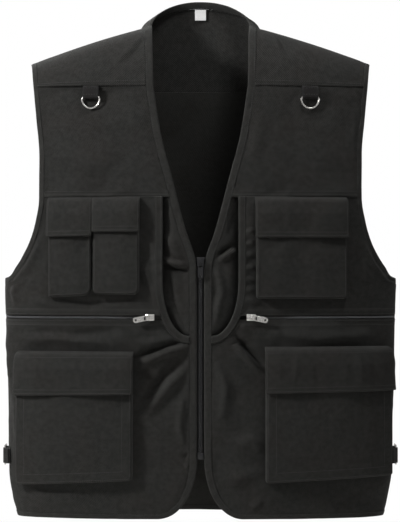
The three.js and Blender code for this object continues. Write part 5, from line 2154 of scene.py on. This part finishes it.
POCKETS = (
    PatchPocket(
        "chest_left_outer", -1, 0.558, 0.773, 0.3535, 0.43, 0.5506, 9, 3, (11.0, 3.0), 101,
        folds=(Fold(((12, -50), (40, -72)), 8, 0.8), Fold(((8, -100), (30, -112)), 6, 0.9)),
        ripples=(Fold(((10, -12), (40, -16)), 5, -0.6),),
    ),
    PatchPocket(
        "chest_left_inner", -1, 0.315, 0.5465, 0.3535, 0.4204, 0.547, 9, 0, (8.0, 8.0), 121,
        folds=(Fold(((30, -46), (22, -60), (40, -64)), 4, 0.9), Fold(((10, -90), (36, -104)), 8, 0.8)),
        ripples=(Fold(((8, -30), (50, -34)), 6, 0.5),),
    ),
    PatchPocket(
        "chest_right", 1, 0.285, 0.7435, 0.3535, 0.432, 0.555, 9, 0, (4.0, 4.0), 141,
        folds=(Fold(((60, -20), (34, -60), (22, -96)), 12, 1.4), Fold(((96, -60), (70, -112)), 13, 1.0)),
        ripples=(
            Fold(((44, -4), (42, -48)), 4, 0.9),
            Fold(((70, -2), (72, -50)), 5, -0.9),
            Fold(((96, -6), (92, -48)), 6, 0.8),
        ),
    ),
    PatchPocket(
        "lower_left", -1, 0.349, 0.933, 0.6637, 0.7485, 0.927, 13, 8, (6.0, 6.0), 161,
        folds=(
            Fold(((20, -62), (60, -80), (100, -76)), 14, 0.9),
            Fold(((118, -30), (122, -100), (114, -150)), 9, 1.0),
            Fold(((12, -110), (40, -140)), 10, 0.9),
            Fold(((136, -20), (138, -120)), 7, 0.8),
        ),
        ripples=(Fold(((72, -42), (90, -46)), 4, 0.9), Fold(((130, -6), (128, -50)), 5, 0.7)),
        double_top=True, row_gap=10.5,
    ),
    PatchPocket(
        "lower_right", 1, 0.3346, 0.963, 0.654, 0.7426, 0.9204, 13, 8, (5.0, 5.0), 181,
        folds=(
            Fold(((112, -70), (92, -100), (70, -118)), 11, 1.2),
            Fold(((30, -30), (28, -90)), 12, 0.8),
            Fold(((146, -30), (140, -120)), 9, 0.9),
        ),
        ripples=(
            Fold(((18, -12), (17, -52)), 4, 0.9),
            Fold(((42, -8), (34, -52)), 4.5, 1.1),
            Fold(((68, -14), (69, -52)), 4, -1.2),
            Fold(((108, -10), (106, -54)), 5, 1.0),
            Fold(((144, -12), (146, -54)), 5, -1.0),
            Fold(((126, -8), (128, -50)), 4.5, 0.8),
        ),
        double_top=True, row_gap=10.5,
    ),
)


# Zips


def flat_band(
    name: str,
    line: Array,
    across: Array,
    wall: float,
    finish: Finish,
    node: str,
) -> Piece:
    """Sew a narrow strip of cloth.

    Args:
        name: the new piece's name.
        line: points along its middle.
        across: half its width as a vector at each point.
        wall: its thickness.
        finish: what it is made of.
        node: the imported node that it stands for.

    Returns:
        The strip.
    """
    share = np.array([-1, -0.92, -0.6, -0.2, 0.2, 0.6, 0.92, 1])
    points = line[:, None, :] + across[:, None, :] * share[None, :, None]
    shape = points.shape[:2]
    half = np.linalg.norm(across, axis=1)
    wide = np.broadcast_to(share, shape) * half[:, None]
    cloth = np.stack([wide, -np.broadcast_to(travelled(line)[:, None], shape)], -1)
    rubbed = np.broadcast_to(0.4 * (np.abs(share) > 0.9), shape)
    return sew(name, Patch.of(points, cloth, 0.0, rubbed), 1, wall, finish, [node])


def resampled(line: Array, step: float, rounds: int = 2) -> Array:
    """Return a line through rounded corners at even steps.

    Args:
        line: corner points.
        step: spacing of the new points.
        rounds: how often the corners are cut.

    Returns:
        The new points.
    """
    for _ in range(rounds):
        cut = [line[:1]]
        for a, b in zip(line[:-1], line[1:]):
            cut.append(np.stack([mix(a, b, 0.25), mix(a, b, 0.75)]))
        line = np.concatenate([*cut, line[-1:]])
    reached = travelled(line)
    return spaced(line, reached, np.linspace(0, reached[-1], max(int(reached[-1] / step), 4) + 1))


@dataclass
class FrontZip:
    """The front zip: two tapes, two rows of teeth, slider, puller and bottom box."""

    tape_width: float = 13.0
    tape_wall: float = 0.8
    chain_width: float = 5.6
    behind: float = 2.6
    slider_length: float = 12.0
    box_high: float = 9.0
    tooth_out: float = 1.25  # distance of each row of teeth from the centre line
    tooth_in: float = 0.6
    edges: float = 0.35  # width of the castings' rounded edges

    def build(self) -> None:
        """Build the zip in the slit between the front edges."""
        top, bottom = FORM.down(FORM.zip_top_at), FORM.down(FORM.corner_at)
        for name, side in SIDES:
            z = np.linspace(top, bottom, 80)
            inner = self.chain_width / 2 + FORM.seam_gap
            middle = FORM.front(np.full(80, side * (inner + self.tape_width / 2)), z, -self.behind)
            end = FORM.front(np.full(80, side * (inner + self.tape_width)), z, -self.behind)
            across, node = (end - middle) * side, f"front_zip_tape_{name}"
            flat_band(f"{node}_cloth", middle, across, self.tape_wall, TAPE, node)
        rows = []
        z = np.linspace(top - self.slider_length - 1, bottom + self.box_high + 1, 120)
        for side in (-1, 1):
            shift = 0.5 * CHAIN_TEETH.pitch * (side > 0)
            points = FORM.front(np.full(120, side * self.tooth_out), z - shift, -self.tooth_in)
            rows.append((points, np.broadcast_to(np.array([0, -1.0, 0]), points.shape)))
        teeth = CHAIN_TEETH.along("front_zip_teeth", rows)
        dress(teeth, ["front_zip_chain"])
        for node, body in (("slider", "vest"), ("puller", "front_puller"), ("box", "vest")):
            name = f"front_zip_{node}"
            dress(bevelled_copy(name, f"{name}_cast", ENAMEL, self.edges), [name], body)


@dataclass
class PocketZip:
    """A hand-pocket zip: tape behind the slit, coil, slider and puller."""

    name: str
    side: int
    end_angle: float = 84.0
    behind: float = 1.8
    slider_at: float = 68.0
    slider_half: float = 7.0
    tape_half: float = 6.5
    tape_wall: float = 0.8
    edges: float = 0.35  # width of the castings' rounded edges

    def build(self) -> None:
        """Build the zip along the slit over the lower front."""
        height = FORM.down(FORM.zip_at)
        start = girth_at(FORM.slot_half + FORM.slot_band + 1, height)
        end = float(FORM.girth(np.array(self.end_angle)))
        angle = self.side * FORM.angle_of_girth(np.linspace(start, end, 100))
        z = np.full(100, height)
        middle = FORM.body(-1, angle, z, -self.behind)
        across = np.broadcast_to(np.array([0, 0, -self.tape_half * self.side]), middle.shape)
        node = f"pocket_zip_{self.name}_tape"
        flat_band(f"{node}_cloth", middle, across, self.tape_wall, TAPE, node)
        coil_from = girth_at(self.slider_at + self.slider_half, height)
        angle = self.side * FORM.angle_of_girth(np.linspace(coil_from, end, 160))
        z = np.full(160, height)
        points = FORM.body(-1, angle, z, -0.1)
        out = FORM.body(-1, angle, z, 1.0) - points
        coil = COIL_TURNS.along(f"pocket_zip_{self.name}_turns", [(points, unit(out))])
        dress(coil, [f"pocket_zip_{self.name}_coil"])
        for part, body in (("slider", "vest"), ("puller", f"{self.name}_puller")):
            node = f"pocket_zip_{self.name}_{part}"
            dress(bevelled_copy(node, f"{node}_cast", NICKEL, self.edges), [node], body)


# Fittings


@dataclass
class DRing:
    """A wire D-ring that hangs in a folded cloth tab under the yoke seam."""

    name: str
    side: int
    half: float = 12.4  # half its width, and how far its bow hangs below its bar
    high: float = 14.0
    wire: float = 1.2  # radius of the wire
    out: float = 148.0  # its place: from the centre line, and off the form
    stand: float = 4.1
    tab_half: float = 10.4  # half the tab's width, and the bar's distance below the seam
    tab_up: float = 15.0

    def build(self) -> None:
        """Bend the wire and fold the tab round its bar."""
        z = FORM.down(FORM.yoke_at) - self.tab_up
        at = FORM.front(np.array(self.side * self.out), np.array(z), self.stand)
        ahead = FORM.front(np.array(self.side * self.out), np.array(z), self.stand + 1) - at
        right = unit(np.array([-ahead[1], ahead[0], 0.0]))
        outer = unit(ahead * np.array([1, 1, 0]))
        self.ring(at, right, outer)
        self.tab(at, right, outer)

    def ring(self, at: Array, right: Array, outer: Array) -> None:
        """Bend the ring: a straight bar and a bow, one closed wire.

        Args:
            at: middle of the bar.
            right: direction along the bar.
            outer: outward direction of the form there.
        """
        bar = np.stack([np.linspace(-self.half + 2, self.half - 2, 9), np.zeros(9)], 1)
        turn = np.radians(np.linspace(8, 172, 40))
        bow = np.stack([self.half * np.cos(turn), -self.wire - self.high * np.sin(turn)], 1)
        path = np.concatenate([bar, bow])
        ahead = unit(np.roll(path, -1, 0) - np.roll(path, 1, 0))
        around = np.linspace(0, 2 * np.pi, 15)[:-1]
        flat_x = path[:, None, 0] - ahead[:, None, 1] * np.sin(around) * self.wire
        flat_z = path[:, None, 1] + ahead[:, None, 0] * np.sin(around) * self.wire
        depth = np.broadcast_to(np.cos(around) * self.wire, flat_x.shape)
        up = np.array([0, 0, 1.0])
        points = at + flat_x[..., None] * right + flat_z[..., None] * up + depth[..., None] * outer
        faces = tube_faces(len(path), len(around), True)
        made = new_object(f"d_ring_{self.name}_wire", points.reshape(-1, 3), faces, NICKEL)
        face_outwards(made)
        dress(made, [f"d_ring_{self.name}"], f"{self.name}_d_ring")

    def tab(self, at: Array, right: Array, outer: Array) -> None:
        """Fold the tab round the bar and sew it in at the seam.

        Args:
            at: middle of the bar.
            right: direction along the bar.
            outer: outward direction of the form there.
        """
        bend = self.wire + 1.0
        turn = np.radians(np.linspace(180, 360, 9))
        path = [(-1.3, self.tab_up), (-bend, self.tab_up / 2)]
        path += [(bend * math.cos(t), bend * math.sin(t)) for t in turn]
        path += [(bend, 3.0), (bend * 0.9, self.tab_up - 1)]
        line = np.array([at + outer * y + np.array([0, 0, z]) for y, z in path])
        line = resampled(line, 1.2, 1)
        across = np.broadcast_to(-right * self.tab_half, line.shape)
        node = f"d_ring_tab_{self.name}"
        tree = outside_of(flat_band(f"{node}_cloth", line, across, 1.1, TAPE, node))
        rows = []
        for height in (3.6, self.tab_up - 3):
            points = at + outer * bend + np.array([0, 0, height])
            reach = self.tab_half - 1.5
            line = points + right * np.linspace(-reach, reach, 20)[:, None]
            rows.append(settle(line, np.broadcast_to(outer, line.shape), tree, 0.1))
        dress(TOPSTITCH.along(f"{node}_stitches", rows))


@dataclass
class SideAdjuster:
    """A side adjuster: a front tab and a back strap that turn back round a slide."""

    name: str
    side: int
    at: float = 0.878  # height as a share of the body length
    half: float = 10.0  # half the straps' width
    wall: float = 1.4
    stand: float = 5.4  # the slide's place: off the side, and behind the side seam
    behind: float = 10.0
    slide_wide: float = 24.0  # the slide's size, the width of its bars and its thickness
    bar: float = 2.4
    thick: float = 2.0
    strap_out: float = 2.2  # lift of the straps where they are sewn on and where they lie free
    free_out: float = 4.6

    def build(self) -> None:
        """Fold the straps round the slide."""
        node = f"side_slide_{self.name}"
        dress(bevelled_copy(node, f"{node}_cast", NICKEL, 0.5), [node])
        for strap, face, start, end, off in (
            ("side_tab", -1, 79.0, 85.0, 82.0),
            ("side_strap", 1, 52.0, 72.0, 60.0),
        ):
            line = resampled(self.path(face, start, end, off), 2.0)
            across = np.broadcast_to(np.array([0, 0, self.half * self.side * face]), line.shape)
            node = f"{strap}_{self.name}"
            flat_band(f"{node}_cloth", line, across, self.wall, TAPE, node)

    def path(self, face: int, start: float, end: float, off: float) -> Array:
        """Return a strap's middle line.

        Args:
            face: -1 for the front tab, 1 for the back strap.
            start: section angle where it is sewn on.
            end: section angle where it leaves the body.
            off: section angle where its free end meets it again.

        Returns:
            Points from the sewn end, round the slide's bar and back.
        """
        z = FORM.down(self.at)
        centre_x = float(FORM.half(np.array(z))) + self.stand
        centre_y = self.behind + face * (self.slide_wide / 2 - self.bar / 2)
        clear = 1 + self.wall / 2
        turn = np.radians(np.linspace(0, 180, 9))
        loop = stack(
            centre_x - (self.thick / 2 + clear) * np.cos(turn),
            centre_y - face * (self.bar / 2 + clear) * np.sin(turn),
            np.full(9, z),
        )
        past_x, past_y = centre_x + self.thick / 2 + clear, centre_y + face * (self.bar / 2 + clear)
        past = np.array([[past_x, past_y, z]])
        sewn = FORM.body(face, np.linspace(start, end, 6), np.full(6, z), self.strap_out)
        free = FORM.body(face, np.linspace(off, start + 1, 5), np.full(5, z), self.free_out)
        return np.concatenate([sewn, loop, past, free]) * np.array([self.side, 1, 1])


@dataclass
class NeckLabel:
    """The blank satin label inside the back neck."""

    half: float = 7.5  # half its width
    top: float = 8.0  # degrees down the back yoke, at its top and its bottom
    bottom: float = 30.0
    inwards: float = 3.4  # how far it hangs inside the yoke
    wall: float = 0.6

    def build(self) -> None:
        """Cut the label and hang it under the neck binding."""
        turn = np.linspace(self.top, self.bottom, 24)
        top = FORM.back_neck(np.array(90.0), FORM.band + 1.2)
        seam = FORM.back_seam(np.array(0.0))
        line = FORM.yoke_back(np.broadcast_to(top, (24, 3)), np.broadcast_to(seam, (24, 3)), turn)
        line = line * np.array([0, 1, 1]) - np.array([0, self.inwards, 0])
        across = np.broadcast_to(np.array([self.half, 0, 0]), line.shape)
        name, node, rests_on = "neck_label_satin", "neck_label", ["yoke_cloth"]
        flat_band(name, line, across, self.wall, SATIN, node)


# Studio


@dataclass(frozen=True)
class Lamp:
    """A square soft light: its place and side in metres, and its power in watts."""

    name: str
    place: tuple[float, float, float]
    size: float
    power: float


LAMPS = (
    Lamp("key", (-1.2, -0.66, 0.46), 0.24, 18.5),
    Lamp("top", (0.3, -0.42, 0.72), 0.25, 4.4),
    Lamp("front", (-0.5, -2.9, 0.9), 0.8, 1.5),
    Lamp("back", (-1.3, 1.7, 1.0), 0.8, 50),
)


@dataclass
class Studio:
    """The camera at the photograph's angle, a pale floor and soft light from the upper left."""

    distance: float = 3.0  # of the camera, in metres as all sizes here but the lens
    aside: float = -0.0007
    eye_height: float = -0.323
    lens: float = 150.0  # focal length in millimetres
    floor_drop: float = 0.12
    floor_reach: float = 0.85
    ambient: float = 0.12  # strength of the white as light, and as seen in reflections
    mirrored: float = 0.5

    def build(self) -> None:
        """Set up the view, the light and the floor."""
        camera = bpy.data.objects.new("camera", bpy.data.cameras.new("camera"))
        camera.location = (self.aside, -self.distance, self.eye_height)
        camera.rotation_euler = (math.pi / 2, 0, 0)
        camera.data.lens = self.lens
        bpy.context.collection.objects.link(camera)
        bpy.context.scene.camera = camera
        for lamp in LAMPS:
            self.hang(lamp)
        self.surround()
        bpy.context.scene.view_settings.view_transform = "Standard"
        self.floor()

    def surround(self) -> None:
        """Surround the vest with white that lights it only softly."""
        world = bpy.data.worlds.new("studio")
        world.use_nodes = True
        tree = world.node_tree
        tree.nodes.clear()
        path = add_node(tree, "ShaderNodeLightPath").outputs
        glow = ranged(tree, path["Is Glossy Ray"], (0.0, 1.0), (self.ambient, self.mirrored))
        inputs = {0: path["Is Camera Ray"], 2: glow, 3: 1.0}
        strength = add_node(tree, "ShaderNodeMix", inputs, data_type="FLOAT").outputs[0]
        inputs = {"Color": linear("#ffffff"), "Strength": strength}
        white = add_node(tree, "ShaderNodeBackground", inputs).outputs[0]
        add_node(tree, "ShaderNodeOutputWorld", {"Surface": white})
        bpy.context.scene.world = world

    def hang(self, lamp: Lamp) -> None:
        """Hang a light that looks at the vest's middle.

        Args:
            lamp: the light's place, size and power.
        """
        light = bpy.data.lights.new(lamp.name, "AREA")
        light.size = lamp.size
        light.energy = lamp.power
        made = bpy.data.objects.new(lamp.name, light)
        made.location = lamp.place
        aim = Vector((0, 0, self.eye_height)) - Vector(lamp.place)
        made.rotation_euler = aim.to_track_quat("-Z", "Y").to_euler()
        bpy.context.collection.objects.link(made)

    def floor(self) -> None:
        """Lay a pale round floor under the vest."""
        low = -FORM.length / MILLI - self.floor_drop
        turn = np.linspace(0, 2 * np.pi, 97)[:-1]
        rim = stack(np.cos(turn), np.sin(turn), np.zeros(len(turn))) * self.floor_reach * MILLI
        rim = rim + np.array([0, 0, low * MILLI])
        paint = Finish("pale_floor", "body_cloth", "#f3f2ef", 0.7)
        made = new_object("floor", rim, [tuple(range(len(rim)))], paint)


def main() -> None:
    """Build and dress the vest piece by piece."""
    logging.basicConfig(level=logging.INFO, format="%(message)s")
    Studio().build()
    Yoke().build()
    Back().build()
    for name, side in SIDES:
        Front(name, side, LEFT_FOLDS if side < 0 else RIGHT_FOLDS).build()
    Bindings().build()
    for pocket in POCKETS:
        pocket.build()
    FrontZip().build()
    for name, side in SIDES:
        PocketZip(name, side).build()
        DRing(name, side).build()
        SideAdjuster(name, side).build()
    NeckLabel().build()


if __name__ == "__main__":
    main()
